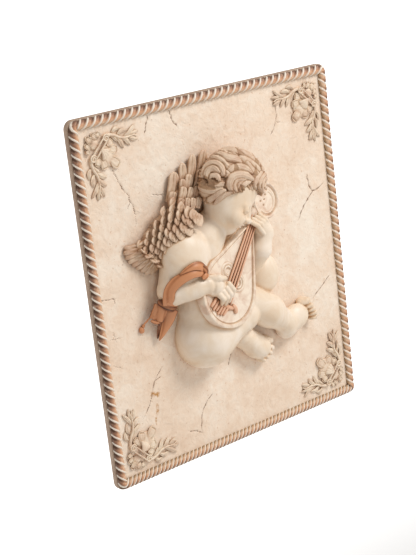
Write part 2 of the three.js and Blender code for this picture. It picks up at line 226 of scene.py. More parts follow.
def rope_finish():
    look = Finish("rope_copper_and_cream")
    wear = look.cloud(4.5, 5, 0.65, 0.6)
    flank = look.mark("flank")
    # Flank runs from the rope's outer side over its top to its inner side: brown outside and peach inside
    # are its two-tone paint, the darker olive at the inner foot is painted shade.
    lobe = look.ramp(
        look.math("ADD", flank, look.math("MULTIPLY", look.math("SUBTRACT", wear, 0.5), 0.5)),
        (0.08, srgb(122, 88, 70)),
        (0.3, srgb(160, 112, 84)),
        (0.5, srgb(214, 160, 122)),
        (0.72, srgb(222, 184, 150)),
        (0.95, srgb(158, 128, 88)),
    )
    lobe = look.mix(look.level(wear, 0.52, 0.72, 0, 0.5), lobe, srgb(236, 212, 188))
    # Cream on each ridge's crest: partly worn paint, partly painted highlight.
    crest_wear_and_highlight = look.level(look.math("ADD", look.mark("crest_wear_and_highlight"), look.math("MULTIPLY", wear, 0.5)), 0.55, 0.95)
    lobe = look.mix(crest_wear_and_highlight, lobe, srgb(243, 230, 214))
    # Wash and painted shade in the recesses between the strands.
    lobe = look.mix(look.level(look.mark("wash_and_shade"), 0.26, 0.74, 0, 0.92), lobe, srgb(94, 64, 43))
    rough = look.level(wear, 0.35, 0.65, 0.4, 0.56)
    return look.done(lobe, rough, [(look.cloud(1.8, 3), 0.1)], coat=0.08)


def floor_finish():
    look = Finish("studio_floor")
    tone = look.ramp(look.cloud(900, 2), (0.3, (0.9, 0.9, 0.9, 1)), (0.7, (0.92, 0.92, 0.92, 1)))
    look.shader.inputs["Emission Color"].default_value = (1, 1, 1, 1)
    behind = look.node("ShaderNodeSeparateXYZ", {"Vector": look.where}).outputs["Y"]
    look.tree.links.new(look.level(behind, 0.1, 0.7, 0.05, 1.1), look.shader.inputs["Emission Strength"])
    return look.done(tone, look.level(look.cloud(400, 2), 0.3, 0.7, 0.7, 0.8), [])


# Making and placing

carved_pieces = []


def finish_piece(name, bm, material, marks=(), recalc=True, gets_wash_and_shade=True):
    """Closes the modelling of one piece: faces out, stood up into the part's frame, riding on it."""
    if recalc:
        bmesh.ops.recalc_face_normals(bm, faces=bm.faces)
    bmesh.ops.transform(bm, matrix=TO_ROW, verts=bm.verts)
    mesh = bpy.data.meshes.new(name)
    bm.to_mesh(mesh)
    bm.free()
    mesh.polygons.foreach_set("use_smooth", [True] * len(mesh.polygons))
    for key, values in dict(marks).items():
        mesh.attributes.new(key, "FLOAT", "POINT").data.foreach_set("value", values)
    mesh.materials.append(material)
    piece = bpy.data.objects.new(name, mesh)
    bpy.context.scene.collection.objects.link(piece)
    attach(piece, "root")
    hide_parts("plaque")
    if gets_wash_and_shade:
        carved_pieces.append(piece)
    return piece


def spots(verts):
    return np.array([v.co[:] for v in verts], dtype=float)


def move_to(verts, places):
    for vert, place in zip(verts, places):
        vert.co = place


def spline(points, share):
    """Smooth curve through points at each share of its length, 0 to 1."""
    points = np.asarray(points, dtype=float)
    steps = np.linalg.norm(np.diff(points, axis=0), axis=1)
    knots = np.concatenate([[0], np.cumsum(steps)])
    at = np.clip(np.asarray(share), 0, 1) * knots[-1]
    i = np.clip(np.searchsorted(knots, at, side="right") - 1, 0, len(points) - 2)
    slope = np.gradient(points, knots, axis=0)
    span = (knots[i + 1] - knots[i])[:, None]
    t = ((at - knots[i]) / span[:, 0])[:, None]
    h1 = 2 * t**3 - 3 * t**2 + 1
    h2 = t**3 - 2 * t**2 + t
    h3 = -2 * t**3 + 3 * t**2
    h4 = t**3 - t**2
    return h1 * points[i] + h2 * span * slope[i] + h3 * points[i + 1] + h4 * span * slope[i + 1]


def new_carving():
    """A new form whose points can carry how much dark wash and painted shade lies in them."""
    bm = bmesh.new()
    bm.verts.layers.float.new("cut")
    return bm


def sweep(bm, route, across, rise, along=20, around=12, ridges=None, tilt=0.0, twist=0.0, paint=None):
    """A closed form swept along a route. across(t) is its half width and rise(t) its half height; ridges(t,
    s) adds relief to the upper side, s running from -1 to 1 over the width, and paint(t, s) is how much wash
    and painted shade lies there."""
    made = bmesh.ops.create_grid(bm, x_segments=along, y_segments=around, size=1)
    verts = made["verts"]
    flat = spots(verts)
    t = 0.5 - 0.5 * np.cos(math.pi * (flat[:, 0] + 1) / 2)
    turn = math.pi * (flat[:, 1] + 1)
    centre = spline(route, t)
    ahead = spline(route, np.minimum(t + 0.01, 1)) - spline(route, np.maximum(t - 0.01, 0))
    ahead /= np.maximum(np.linalg.norm(ahead, axis=1), 1e-9)[:, None]
    lean = (
        np.radians([tilt(v) for v in t]) if callable(tilt) else math.radians(tilt) + math.radians(twist) * t
    )
    up = np.array([0.0, 0.0, 1.0])
    side = np.cross(ahead, up)
    side /= np.maximum(np.linalg.norm(side, axis=1), 1e-9)[:, None]
    lift = np.cross(side, ahead)
    side, lift = (
        side * np.cos(lean)[:, None] + lift * np.sin(lean)[:, None],
        lift * np.cos(lean)[:, None] - side * np.sin(lean)[:, None],
    )
    half = np.array([across(v) for v in t])
    high = np.array([rise(v) for v in t])
    out = half * np.cos(turn)
    top = high * np.sin(turn)
    if ridges is not None:
        upper = np.maximum(np.sin(turn), 0) * ((t > 0) & (t < 1))
        top = top + upper**0.5 * np.array([ridges(a, b) for a, b in zip(t, np.cos(turn))])
    places = centre + side * out[:, None] + lift * top[:, None]
    move_to(verts, places)
    # Wash and painted shade: paint sets it on the upper side, the underside gets a fixed painted shade of
    # 0.6.
    if paint is not None:
        carving = bm.verts.layers.float["cut"]
        for vert, a, b in zip(verts, t, turn):
            vert[carving] = paint(a, math.cos(b)) if math.sin(b) > -0.05 else 0.6
    bmesh.ops.remove_doubles(bm, verts=verts, dist=1e-3)


def round_ends(width, power=0.5):
    return lambda t: width * max(4 * t * (1 - t), 0) ** power


def leaf_shape(width, peak=0.4, power=0.7):
    """Half width of a pointed leaf that is widest at peak."""
    def half(t):
        share = t / peak if t < peak else (1 - t) / (1 - peak)
        return width * max(math.sin(share * math.pi / 2), 0) ** power
    return half


def blob(bm, centre, radii, turn=0.0, sides=16, rows=10):
    made = bmesh.ops.create_uvsphere(bm, u_segments=sides, v_segments=rows, radius=1)
    shape = (
        Matrix.Translation(centre) @ Matrix.Rotation(math.radians(turn), 4, "Z")
        @ Matrix.Diagonal((*radii, 1))
    )
    bmesh.ops.transform(bm, matrix=shape, verts=made["verts"])
    return made["verts"]


# Forms of the child, as depths below a surface

def ball_depth(points, centre, radii, turn=0.0):
    away = points - np.array(centre, dtype=float)
    c, s = math.cos(math.radians(turn)), math.sin(math.radians(turn))
    away = np.stack([away[:, 0] * c + away[:, 1] * s, -away[:, 0] * s + away[:, 1] * c, away[:, 2]], 1)
    radii = np.array(radii, dtype=float)
    k0 = np.linalg.norm(away / radii, axis=1)
    k1 = np.linalg.norm(away / radii**2, axis=1)
    return k0 * (k0 - 1) / np.maximum(k1, 1e-6)


def limb_depth(points, start, end, r0, r1):
    start = np.array(start, dtype=float)
    axis = np.array(end, dtype=float) - start
    t = np.clip((points - start) @ axis / (axis @ axis), 0, 1)
    return np.linalg.norm(points - start - t[:, None] * axis, axis=1) - (r0 + (r1 - r0) * t)


def depth_of(points, form):
    return (ball_depth if form[0] == "ball" else limb_depth)(points, *form[1:])


def melt(first, second, width):
    share = np.clip(0.5 + 0.5 * (second - first) / width, 0, 1)
    return second * (1 - share) + first * share - width * share * (1 - share)


def melted(points, forms, width):
    depth = depth_of(points, forms[0])
    for form in forms[1:]:
        depth = melt(depth, depth_of(points, form), width)
    return depth


def groove(points, route, width, deep):
    """How much a crease along a route lets the surface in."""
    line = spline(route, np.linspace(0, 1, 24))
    near = np.full(len(points), 1e9)
    for spot in line:
        near = np.minimum(near, ((points - spot) ** 2).sum(1))
    return deep * np.exp(-near / width**2)


TRUNK = [
    ("limb", (-30, 34, 6), (-38, -25, 6), 20, 23),
    ("limb", (-10, 56, 13), (-30, 34, 8), 14, 18),
    ("ball", (4, 22, 6), (20, 16, 14), 40),
]
NEAR_ARM = [
    ("ball", (-54, 29.5, 14), (26, 24.5, 18)),
    ("limb", (-61, 18, 14), (-73, 2, 14), 19, 14),
]
FOREARM = [
    ("limb", (-74, 1, 17), (-47, 3, 31), 10.8, 8.2),
    ("limb", (-66, 1.5, 22), (-56, 2, 27), 10.2, 9.4),
]
NEAR_HAND = [
    ("limb", (-47, 3, 31), (-40, 0, 32), 7.4, 7.8),
    ("ball", (-38.5, -0.5, 31.5), (12.0, 10.2, 6.9), -30),
]
SEAT = [
    ("ball", (-37, -50, 6), (30.5, 31.5, 26)),
    ("limb", (-34, -50, 4), (4, -42, 12), 27, 17),
]
FAR_LEG = [
    ("limb", (12, -30, 11), (35, -47, 14), 15, 15),
    ("limb", (35, -47, 14), (58, -65, 10), 15, 10.5),
    ("ball", (61, -74, 7), (10, 9, 9)),
    ("ball", (74.5, -66, 6), (16, 12.8, 9.5), 8),
]
NEAR_FOOT = [
    ("limb", (6, -64, 6), (26, -82, 5), 11.5, 11),
    ("limb", (22, -79, 5), (27.5, -81.5, 5), 11, 9.2),
]
FAR_SIDE = [
    ("ball", (39, -13, 6), (17.5, 20, 13)),
]
FAR_ARM = [
    ("limb", (25.5, -7, 10), (33, 13, 14), 4.5, 10.5),
    ("limb", (33, 13, 14), (38.5, 29, 15), 10.5, 9),
]
FAR_HAND = [
    ("limb", (39.5, 27, 15), (32.5, 38, 17), 9.0, 8.0),
]
KNUCKLES = [(-38.6, -8.2), (-34.3, -6.6), (-30.2, -4.2), (-26.8, -1.4)]
FINGERTIPS = [(-36.4, -17.4), (-31.8, -18.6), (-27.2, -17.0), (-23.2, -13.4)]
FAR_TOES = [(88, -53.5, 5.0), (92, -59, 3.7), (94.4, -63.3, 3.4), (96.4, -67.6, 3.3), (97, -72, 3.1)]
NEAR_TOES = [(37, -77, 4.4), (38, -84.8, 3.8), (35.2, -88.8, 3.5), (30.8, -91.8, 3.3), (26, -93.8, 3.1)]

# Face: a calm child's face on even proportions, set on the round of the head.
HEAD_CENTRE = np.array([-5.0, 62.0, 20.0])
FACE_ROUND = 20.5
FACE_OUT = np.array([0.58, -0.50, 0.64])
FACE_OUT /= np.linalg.norm(FACE_OUT)
FACE_UP = np.array([0.52, 0.84, 0.18])
FACE_UP -= FACE_OUT * (FACE_UP @ FACE_OUT)
FACE_UP /= np.linalg.norm(FACE_UP)
FACE_RIGHT = np.cross(FACE_UP, FACE_OUT)


def on_face(right, up, out=0.0):
    stand = math.sqrt(max(FACE_ROUND**2 - right**2 - up**2, 1)) + out
    return tuple(HEAD_CENTRE + FACE_RIGHT * right + FACE_UP * up + FACE_OUT * stand)


def face_depth(points):
    head = melted(points, [
        ("ball", (0.5, 80, 20), (29, 27, 21)),
        ("ball", tuple(HEAD_CENTRE), (21.5, 20.5, 19)),
        ("ball", on_face(0, -15.5, -5.5), (6.5, 6.5, 6.5)),
    ], 6)
    for side in (-1, 1):
        head = melt(head, depth_of(points, ("ball", on_face(10.5 * side, -5.5, -6.5), (8.6, 8.6, 8.6))), 4)
        head += groove(
            points,
            [on_face(5.2 * side, 4.2, 0.4), on_face(8 * side, 4.6, 0.2), on_face(11 * side, 3.6, 0.6)], 3.8,
            2.6
        )
        head = melt(head, depth_of(points, ("ball", on_face(8 * side, 4.2, -3.2), (4.0, 4.0, 4.0))), 0.7)
        head = melt(
            head,
            depth_of(
                points, ("limb", on_face(4.5 * side, 9.2, -1.6), on_face(11.5 * side, 8.2, -1.6), 1.9, 1.4)
            ),
            3.2
        )
        lash = [on_face(4.9 * side, 3.2, 0.6), on_face(8 * side, 1.9, 1.2), on_face(11.2 * side, 3.0, 0.8)]
        head += groove(points, lash, 0.9, 1.1)
    nose = melted(points, [
        ("limb", on_face(0, 6.5, -1.2), on_face(0, -2.4, 1.4), 1.7, 2.3),
        ("ball", on_face(0, -3.0, 1.8), (2.9, 2.9, 2.9)),
        ("ball", on_face(-2.7, -3.4, 0.6), (1.8, 1.8, 1.8)),
        ("ball", on_face(2.7, -3.4, 0.6), (1.8, 1.8, 1.8)),
    ], 1.4)
    head = melt(head, nose, 2.2)
    lips = melted(points, [
        ("limb", on_face(-3.9, -9.0, -0.6), on_face(-0.9, -8.0, 0.5), 0.9, 1.4),
        ("limb", on_face(0.9, -8.0, 0.5), on_face(3.9, -9.0, -0.6), 1.4, 0.9),
        ("limb", on_face(-2.6, -10.6, -0.2), on_face(2.6, -10.6, -0.2), 1.4, 1.4),
    ], 0.9)
    head = melt(head, lips, 1.6)
    head += groove(
        points, [on_face(-4.4, -9.4, 0.4), on_face(0, -9.3, 1.6), on_face(4.4, -9.4, 0.4)], 0.9, 1.2
    )
    head += groove(points, [on_face(-3, -12.9, 0), on_face(3, -12.9, 0)], 1.7, 0.9)
    return head


def child_depth(points):
    trunk = melted(points, TRUNK, 7)
    arm = melt(melted(points, NEAR_ARM, 7), melted(points, FOREARM, 4), 2.2)
    hand = melted(points, NEAR_HAND, 3)
    for i, (knuckle, tip) in enumerate(zip(KNUCKLES, FINGERTIPS)):
        bend = ((knuckle[0] + tip[0]) / 2 + 0.8, (knuckle[1] + tip[1]) / 2 + 0.6, 38.9)
        root = ("limb", (*knuckle, 36.4), bend, 2.9, 2.5)
        finger = melt(depth_of(points, root), depth_of(points, ("limb", bend, (*tip, 34.6), 2.5, 2.1)), 0.8)
        hand = melt(hand, finger, 0.8)
    thumb = melted(
        points,
        [
            ("limb", (-44, 6.5, 35), (-38, 7.6, 37.5), 3.6, 3.0),
            ("limb", (-38, 7.6, 37.5), (-31.5, 5.6, 37.6), 3.0, 2.2)
        ],
        1.5
    )
    hand = melt(hand, thumb, 1.0)
    arm = melt(arm, hand, 1.6)
    arm += groove(points, [(-48, 11.5, 31), (-44.5, 5, 39), (-45, -4, 37)], 1.5, 1.1)
    arm += groove(points, [(-78, 14, 22), (-70, 10, 31), (-62, 10.5, 32)], 2.2, 1.6)
    legs = melted(points, SEAT, 9)
    far_leg = melted(points, FAR_LEG, 6)
    far_leg += groove(points, [(48, -48, 20), (53, -59, 21.5), (49, -70, 14)], 2.4, 1.1)
    for x, y, r in FAR_TOES:
        toe = melted(
            points,
            [
                ("ball", (x - 1, y, 4.5), (r * 1.3, r * 0.74, 7.0), 15),
                ("ball", (x + 1.4, y + 0.4, 9.2), (r * 0.8, r * 0.72, 3.2))
            ],
            1
        )
        far_leg = melt(far_leg, toe, 0.6)
    near_foot = melted(points, NEAR_FOOT, 5)
    for i, (x, y, r) in enumerate(NEAR_TOES):
        turn = -40 - i * 8
        toe = melted(
            points,
            [
                ("ball", (x - 0.6, y + 0.6, 4.5), (r * 1.3, r * 0.74, 6.6), turn),
                ("ball", (x + 0.8, y - 0.8, 8.6), (r * 0.85, r * 0.72, 3.2), turn)
            ],
            1
        )
        near_foot = melt(near_foot, toe, 0.6)
    near_foot += groove(points, [(12, -62, 17), (20, -66, 17), (24, -71, 16)], 2.0, 0.8)
    far_side = melt(melted(points, FAR_SIDE, 6), melted(points, FAR_ARM, 3), 0.9)
    far_hand = melted(points, FAR_HAND, 3)
    for i in range(4):
        root = (17.5 + i * 4.7, 44.6 + i * 1.0, 21.6 - i * 0.6)
        bend = (25.0 + i * 4.1, 38.4 + i * 0.9, 24.8 - i * 0.9)
        tip = (32 + i * 3.3, 29.6 + i * 1.6, 22.6 - i * 1.2)
        finger = melt(
            depth_of(points, ("limb", root, bend, 2.0, 2.1)),
            depth_of(points, ("limb", bend, tip, 2.1, 2.2)), 0.6
        )
        far_hand = melt(far_hand, finger, 0.5)
    far_side = melt(far_side, far_hand, 1.5)
    whole = melt(trunk, arm, 1.4)
    whole = melt(whole, legs, 3.5)
    whole = melt(whole, far_leg, 1.8)
    whole = melt(whole, near_foot, 1.2)
    whole = melt(whole, far_side, 1.5)
    whole = melt(whole, face_depth(points), 2.0)
    whole += groove(points, [(-74, -20, 14), (-60, -24, 27), (-42, -26, 31), (-20, -28, 27)], 3.0, 1.8)
    whole += groove(points, [(-20, -62, 24), (-2, -58, 24), (8, -60, 18)], 2.4, 0.8)
    return whole


def rough_form(bm, form):
    if form[0] == "ball":
        blob(bm, form[1], form[2], form[3] if len(form) > 3 else 0, 20, 12)
        return
    start, end = Vector(form[1]), Vector(form[2])
    for place, radius in ((start, form[3]), (end, form[4])):
        blob(bm, place, (radius,) * 3, 0, 16, 10)
    axis = end - start
    turn = axis.to_track_quat("Z", "Y").to_matrix().to_4x4()
    bmesh.ops.create_cone(
        bm, cap_ends=True, segments=20, radius1=form[3], radius2=form[4], depth=axis.length,
        matrix=Matrix.Translation((start + end) / 2) @ turn,
    )


def voxel_skin(bm, voxel):
    """One closed skin over overlapping rough forms, as a plain mesh in millimetres. The forms are
    turned away from the voxel grid while it is made, so no flat or pole lies along a row of voxels."""
    off_grid = Matrix.Rotation(0.31, 4, "X") @ Matrix.Rotation(0.43, 4, "Y") @ Matrix.Rotation(0.57, 4, "Z")
    bmesh.ops.transform(bm, matrix=off_grid, verts=bm.verts)
    mesh = bpy.data.meshes.new("rough")
    bm.to_mesh(mesh)
    bm.free()
    rough = bpy.data.objects.new("rough", mesh)
    bpy.context.scene.collection.objects.link(rough)
    remesh = rough.modifiers.new("skin", "REMESH")
    remesh.mode = "VOXEL"
    remesh.voxel_size = voxel
    remesh.adaptivity = 0
    result = bpy.data.meshes.new_from_object(rough.evaluated_get(bpy.context.evaluated_depsgraph_get()))
    bpy.data.objects.remove(rough)
    bpy.data.meshes.remove(mesh)
    result.transform(off_grid.inverted())
    return result


def read_vector(items, key):
    flat = np.empty(len(items) * 3, dtype=np.float32)
    items.foreach_get(key, flat)
    return flat.reshape(-1, 3).astype(float)


def settle(mesh, depth, rounds, reach=1.5):
    """Lets a mesh's points slide along their normals onto the depth's zero surface."""
    for _ in range(rounds):
        points = read_vector(mesh.vertices, "co")
        normals = read_vector(mesh.vertices, "normal")
        step = np.clip(depth(points), -reach, reach)
        mesh.vertices.foreach_set("co", (points - normals * step[:, None]).astype(np.float32).ravel())
        mesh.update()


def relax(mesh, rounds, share=0.5):
    edges = np.empty(len(mesh.edges) * 2, dtype=np.int32)
    mesh.edges.foreach_get("vertices", edges)
    a, b = edges.reshape(-1, 2).T
    count = np.bincount(a, minlength=len(mesh.vertices)) + np.bincount(b, minlength=len(mesh.vertices))
    points = read_vector(mesh.vertices, "co")
    for _ in range(rounds):
        total = np.zeros_like(points)
        np.add.at(total, a, points[b])
        np.add.at(total, b, points[a])
        points += (total / np.maximum(count, 1)[:, None] - points) * share
    mesh.vertices.foreach_set("co", points.astype(np.float32).ravel())
    mesh.update()


def refine(mesh, places):
    """Halves the faces round the finest carving, given as (centre, reach)."""
    bm = bmesh.new()
    bm.from_mesh(mesh)
    points = spots(bm.verts)
    near = np.zeros(len(points), dtype=bool)
    for centre, reach in places:
        near |= np.linalg.norm(points - np.array(centre), axis=1) < reach
    edges = [edge for edge in bm.edges if near[edge.verts[0].index] and near[edge.verts[1].index]]
    bmesh.ops.subdivide_edges(bm, edges=edges, cuts=1, use_grid_fill=True)
    bm.to_mesh(mesh)
    bm.free()
    mesh.update()


def mend(mesh, depth, rounds=3):
    """Smooths out the points that a thin fold of the rough forms left off the surface."""
    edges = np.empty(len(mesh.edges) * 2, dtype=np.int32)
    mesh.edges.foreach_get("vertices", edges)
    a, b = edges.reshape(-1, 2).T
    points = read_vector(mesh.vertices, "co")
    normals = read_vector(mesh.vertices, "normal")
    count = np.bincount(a, minlength=len(points)) + np.bincount(b, minlength=len(points))
    rising = depth(points + normals * 0.4) - depth(points - normals * 0.4)
    lost = (np.abs(depth(points)) > 0.35) | (rising < 0.3)
    length = np.linalg.norm(points[a] - points[b], axis=1)
    stretched = length > 2.2 * np.median(length)
    lost[a[stretched]] = True
    lost[b[stretched]] = True
    for _ in range(3):
        lost = lost | (np.bincount(a, lost[b], len(lost)) + np.bincount(b, lost[a], len(lost)) > 0)
    here = np.flatnonzero(lost)
    touched = lost[a] | lost[b]
    a, b = a[touched], b[touched]
    for _ in range(rounds):
        for _ in range(18):
            total = np.zeros_like(points)
            for axis in range(3):
                total[:, axis] = (
                    np.bincount(a, points[b, axis], len(points))
                    + np.bincount(b, points[a, axis], len(points))
                )
            points[here] = 0.4 * points[here] + 0.6 * total[here] / count[here][:, None]
        for _ in range(3):
            near = points[here]
            slope = np.stack([depth(near + step) - depth(near - step) for step in 0.3 * np.eye(3)], 1)
            slope /= np.maximum(np.linalg.norm(slope, axis=1), 1e-6)[:, None]
            points[here] = near - slope * np.clip(depth(near), -2, 2)[:, None]
    mesh.vertices.foreach_set("co", points.astype(np.float32).ravel())
    mesh.update()


def cut_behind(bm, level):
    """Cuts a form flat a little under the panel's ground and closes it there."""
    cut = bmesh.ops.bisect_plane(
        bm, geom=bm.verts[:] + bm.edges[:] + bm.faces[:], dist=1e-5,
        plane_co=(0, 0, level), plane_no=(0, 0, -1), clear_outer=True,
    )
    rim = [e for e in cut["geom_cut"] if isinstance(e, bmesh.types.BMEdge)]
    bmesh.ops.triangle_fill(bm, use_beauty=True, use_dissolve=False, edges=rim)


def make_child(material):
    bm = bmesh.new()
    groups = [TRUNK, NEAR_ARM, FOREARM, NEAR_HAND, SEAT, FAR_LEG, NEAR_FOOT, FAR_SIDE, FAR_ARM, FAR_HAND]
    for form in [form for group in groups for form in group]:
        rough_form(bm, form)
    rough_form(bm, ("ball", (0.5, 80, 20), (29, 27, 21)))
    rough_form(bm, ("ball", tuple(HEAD_CENTRE), (21.5, 20.5, 19)))
    rough_form(bm, ("ball", on_face(0, -15.5, -5.5), (6.5, 6.5, 6.5)))
    for side in (-1, 1):
        rough_form(bm, ("ball", on_face(10.5 * side, -5.5, -6.5), (8.6, 8.6, 8.6)))
    for knuckle, tip in zip(KNUCKLES, FINGERTIPS):
        rough_form(bm, ("limb", (*knuckle, 36), (*tip, 34.5), 3, 2.4))
    rough_form(bm, ("limb", (-44, 6.5, 35), (-31.5, 5.6, 37.6), 3.6, 2.2))
    for i in range(4):
        rough_form(
            bm,
            (
                "limb", (18.5 + i * 4.5, 43.5 + i, 22 - i * 0.6),
                (31 + i * 3.3, 31 + i * 1.5, 23 - i * 1.2), 2.5, 2.7
            )
        )
    for x, y, r in FAR_TOES + NEAR_TOES:
        rough_form(bm, ("ball", (x, y, 5), (r, r * 0.82, 6)))
    mesh = voxel_skin(bm, 1.0)
    settle(mesh, child_depth, 3)
    relax(mesh, 2, 0.4)
    refine(
        mesh,
        [
            (on_face(2, -2), 17.5), ((-33, -7, 36), 15), ((29, 36, 22), 13), ((93, -63, 6), 12),
            ((34, -87, 6), 12)
        ]
    )
    settle(mesh, child_depth, 3, 0.8)
    mend(mesh, child_depth)
    bm = bmesh.new()
    bm.from_mesh(mesh)
    bpy.data.meshes.remove(mesh)
    cut_behind(bm, -1.5)
    return finish_piece("cherub_body", bm, material)


# Hair

DOME = (3.0, 84.0, 20.0)
DOME_RADII = (34.0, 30.0, 20.7)
# Locks: the route over the dome, half width in mm and how far up the lock lies over its neighbours
LOCKS = [
    ([(-2, 114), (-8, 112), (-14, 110), (-20, 106)], 4.8, 1),
    ([(-1, 114), (6, 112.5), (12, 107.5), (20, 101), (27, 93), (33, 85)], 4.6, 1),
    ([(-10, 112), (-7, 109), (0, 106), (7, 101), (14, 95)], 4.2, 2),
    ([(-15, 109.5), (-14, 106), (-12, 101), (-6, 98.5), (1, 97)], 4.0, 2),
    ([(5, 106.5), (12, 101.5), (17.5, 96.5), (23, 91), (27, 86)], 3.6, 2),
    ([(-30, 90), (-28.5, 87), (-24, 86), (-18.5, 87.5)], 3.0, 1),
    ([(-27, 93), (-26, 89.5), (-22, 88), (-18, 90)], 3.8, 2),
    ([(-12, 90.5), (-8, 86.5), (-4, 85.5)], 4.0, 2),
    ([(17, 89.5), (12, 88), (7, 87.3), (1, 89)], 3.0, 2),
    ([(32, 87), (35, 81), (35, 75), (31.5, 69)], 3.0, 1),
    ([(8.5, 101), (10, 97), (14, 92.5), (20.5, 88.5)], 3.0, 3),
    ([(-12.5, 98), (-5.7, 100), (1, 98.7), (6.6, 95), (10.5, 91)], 3.4, 3),
    ([(-29.5, 92), (-31, 87.5), (-29, 84.5), (-25, 83.5), (-19.5, 83.5), (-17.5, 81.5)], 3.3, 3),
    ([(-15.5, 104), (-16.5, 99.5), (-14.7, 96), (-10, 94)], 3.0, 3),
    ([(-17.6, 97), (-17.5, 102), (-19.6, 105), (-22.5, 103.7), (-26, 99.5), (-29, 94)], 4.2, 3),
    ([(0.5, 86.4), (-4.2, 87.4), (-7.1, 85.3), (-6.1, 81), (-2, 77.6)], 2.6, 3),
    ([(24, 89), (19, 87), (14.5, 84.5), (11.5, 81.5), (12.5, 77)], 2.8, 3),
    ([(34.5, 81), (31.5, 76), (27, 72), (24, 68)], 2.4, 3),
    ([(-20, 98.6), (-21.7, 101.4), (-24.7, 100), (-27, 96.4), (-27.5, 93)], 3.0, 4),
    ([(-21.3, 92.3), (-22.2, 96), (-25, 96), (-26.7, 94)], 2.4, 4),
    ([(4.4, 88), (-1.9, 90.5), (-7.7, 90.3), (-11.2, 87), (-10.4, 82.3), (-6.7, 78.4)], 2.9, 4),
    ([(6.5, 86.4), (0.8, 85), (-2.7, 83.4), (-1.4, 79)], 2.2, 4),
    ([(33, 84.5), (26, 85), (20, 83), (17.3, 79.5), (19.5, 75)], 2.7, 4),
    ([(8.6, 87.3), (2, 92), (-5, 94), (-11.5, 92.6), (-14.8, 88), (-14, 82), (-10, 78.6)], 3.2, 5),
    ([(34, 80), (28, 82.3), (23, 80), (22, 75), (24.5, 71)], 2.3, 5),
    ([(-19, 83), (-23.5, 80.5), (-27.5, 77), (-29.5, 72)], 2.6, 4),
    ([(-14, 80.5), (-19, 79), (-23, 76), (-26, 71.5)], 2.3, 3),
]
# Where the hair ends on the face
HAIRLINE = [
    (-40, 66), (-30, 71), (-24, 74), (-18, 77.5), (-12, 76), (0, 77), (12, 75), (22, 70), (32, 64), (42, 60)
]


def dome_point(x, y):
    rest = 1 - ((x - DOME[0]) / DOME_RADII[0]) ** 2 - ((y - DOME[1]) / DOME_RADII[1]) ** 2
    return (x, y, DOME[2] + DOME_RADII[2] * math.sqrt(max(rest, 0)))


def make_hair(material):
    bm = new_carving()
    bmesh.ops.create_icosphere(bm, subdivisions=7, radius=1)
    shape = Matrix.Translation(DOME) @ Matrix.Diagonal((*DOME_RADII, 1))
    bmesh.ops.transform(bm, matrix=shape, verts=bm.verts)
    points = spots(bm.verts)
    out = (points - np.array(DOME)) / np.array(DOME_RADII) ** 2
    out /= np.linalg.norm(out, axis=1)[:, None]
    edge_x, edge_y = np.array(HAIRLINE, dtype=float).T
    above = points[:, 1] - np.interp(points[:, 0], edge_x, edge_y)
    grown = 1 / (1 + np.exp(-above / 0.7))
    stream = (
        points[:, 0] * 0.75 + points[:, 1] * 1.05 + 4 * np.sin(points[:, 0] / 8.0)
        + 2.5 * np.sin(points[:, 1] / 5.0)
    )
    comb = np.sin(stream * 1.5) + 0.5 * np.sin(stream * 3.3 + points[:, 0] * 0.3)
    height = -4.0 + grown * (4.9 + 0.45 * comb)
    # Wash and painted shade in the combed grooves of the hair beneath the locks.
    cut = grown * np.clip(0.22 - 0.2 * comb, 0, 0.5)
    for number, (route, half, layer) in enumerate(LOCKS):
        line = spline([dome_point(x, y) for x, y in route], np.linspace(0, 1, 48))
        ahead = np.gradient(line, axis=0)
        ahead /= np.linalg.norm(ahead, axis=1)[:, None]
        middle = line.mean(0)
        reach = np.linalg.norm(line - middle, axis=1).max() + half * 1.6
        close = np.flatnonzero(((points - middle) ** 2).sum(1) < reach**2)
        local = points[close]
        near = np.full(len(close), 1e9)
        offset = np.zeros(len(close))
        share = np.zeros(len(close))
        for j, (spot, direction) in enumerate(zip(line, ahead)):
            away = local - spot
            distance = (away**2).sum(1)
            closer = distance < near
            near = np.where(closer, distance, near)
            sideways = (np.cross(direction, away) * out[close]).sum(1)
            offset = np.where(closer, sideways, offset)
            share = np.where(closer, j / 47, share)
        width = half * np.clip(3.2 * (1 - share), 0, 1) ** 0.7 * np.clip(0.6 + 3 * share, 0, 1)
        across = np.sqrt(near) / np.maximum(width, 1e-3)
        side = np.clip(offset / np.maximum(width, 1e-3), -1, 1)
        inside = across < 1
        body = np.clip(1 - across**2.6, 0, 1) ** 0.55
        strand = np.cos(side * math.pi * (2.3 + half / 3) + number * 1.3 + 1.5 * np.sin(share * 5 + number))
        strand = 0.6 * strand + 0.4 * np.cos(side * math.pi * 6.3 + number + share * 7)
        lean = 0.5 + 0.5 * side * (1 if number % 2 else -1)
        form = (
            -0.4 + layer * 0.42 + body * (1.2 + 0.2 * half + 0.9 * lean)
            + 0.36 * strand * (1 - across**3) * np.clip(half / 3, 0.5, 1)
        )
        # Wash and painted shade in the strand grooves and round each lock's edge.
        painted = 0.5 * np.clip(-strand, 0, 1) ** 1.5 + 0.4 * np.clip((across - 0.86) / 0.14, 0, 1)
        outline = np.exp(-((across - 1) * width / 0.7) ** 2)
        kept = height[close]
        height[close] = np.where(
            inside, np.maximum(form, kept * 0.35 + form * 0.65), kept - 0.5 * outline * (kept > -2)
        )
        cut[close] = np.where(inside, painted, np.maximum(cut[close], 0.8 * outline))
    points = points + out * height[:, None]
    move_to(bm.verts, points)
    carving = bm.verts.layers.float["cut"]
    for vert, value in zip(bm.verts, cut):
        vert[carving] = value
    return finish_piece("cherub_hair", bm, material, recalc=False)


# Wings

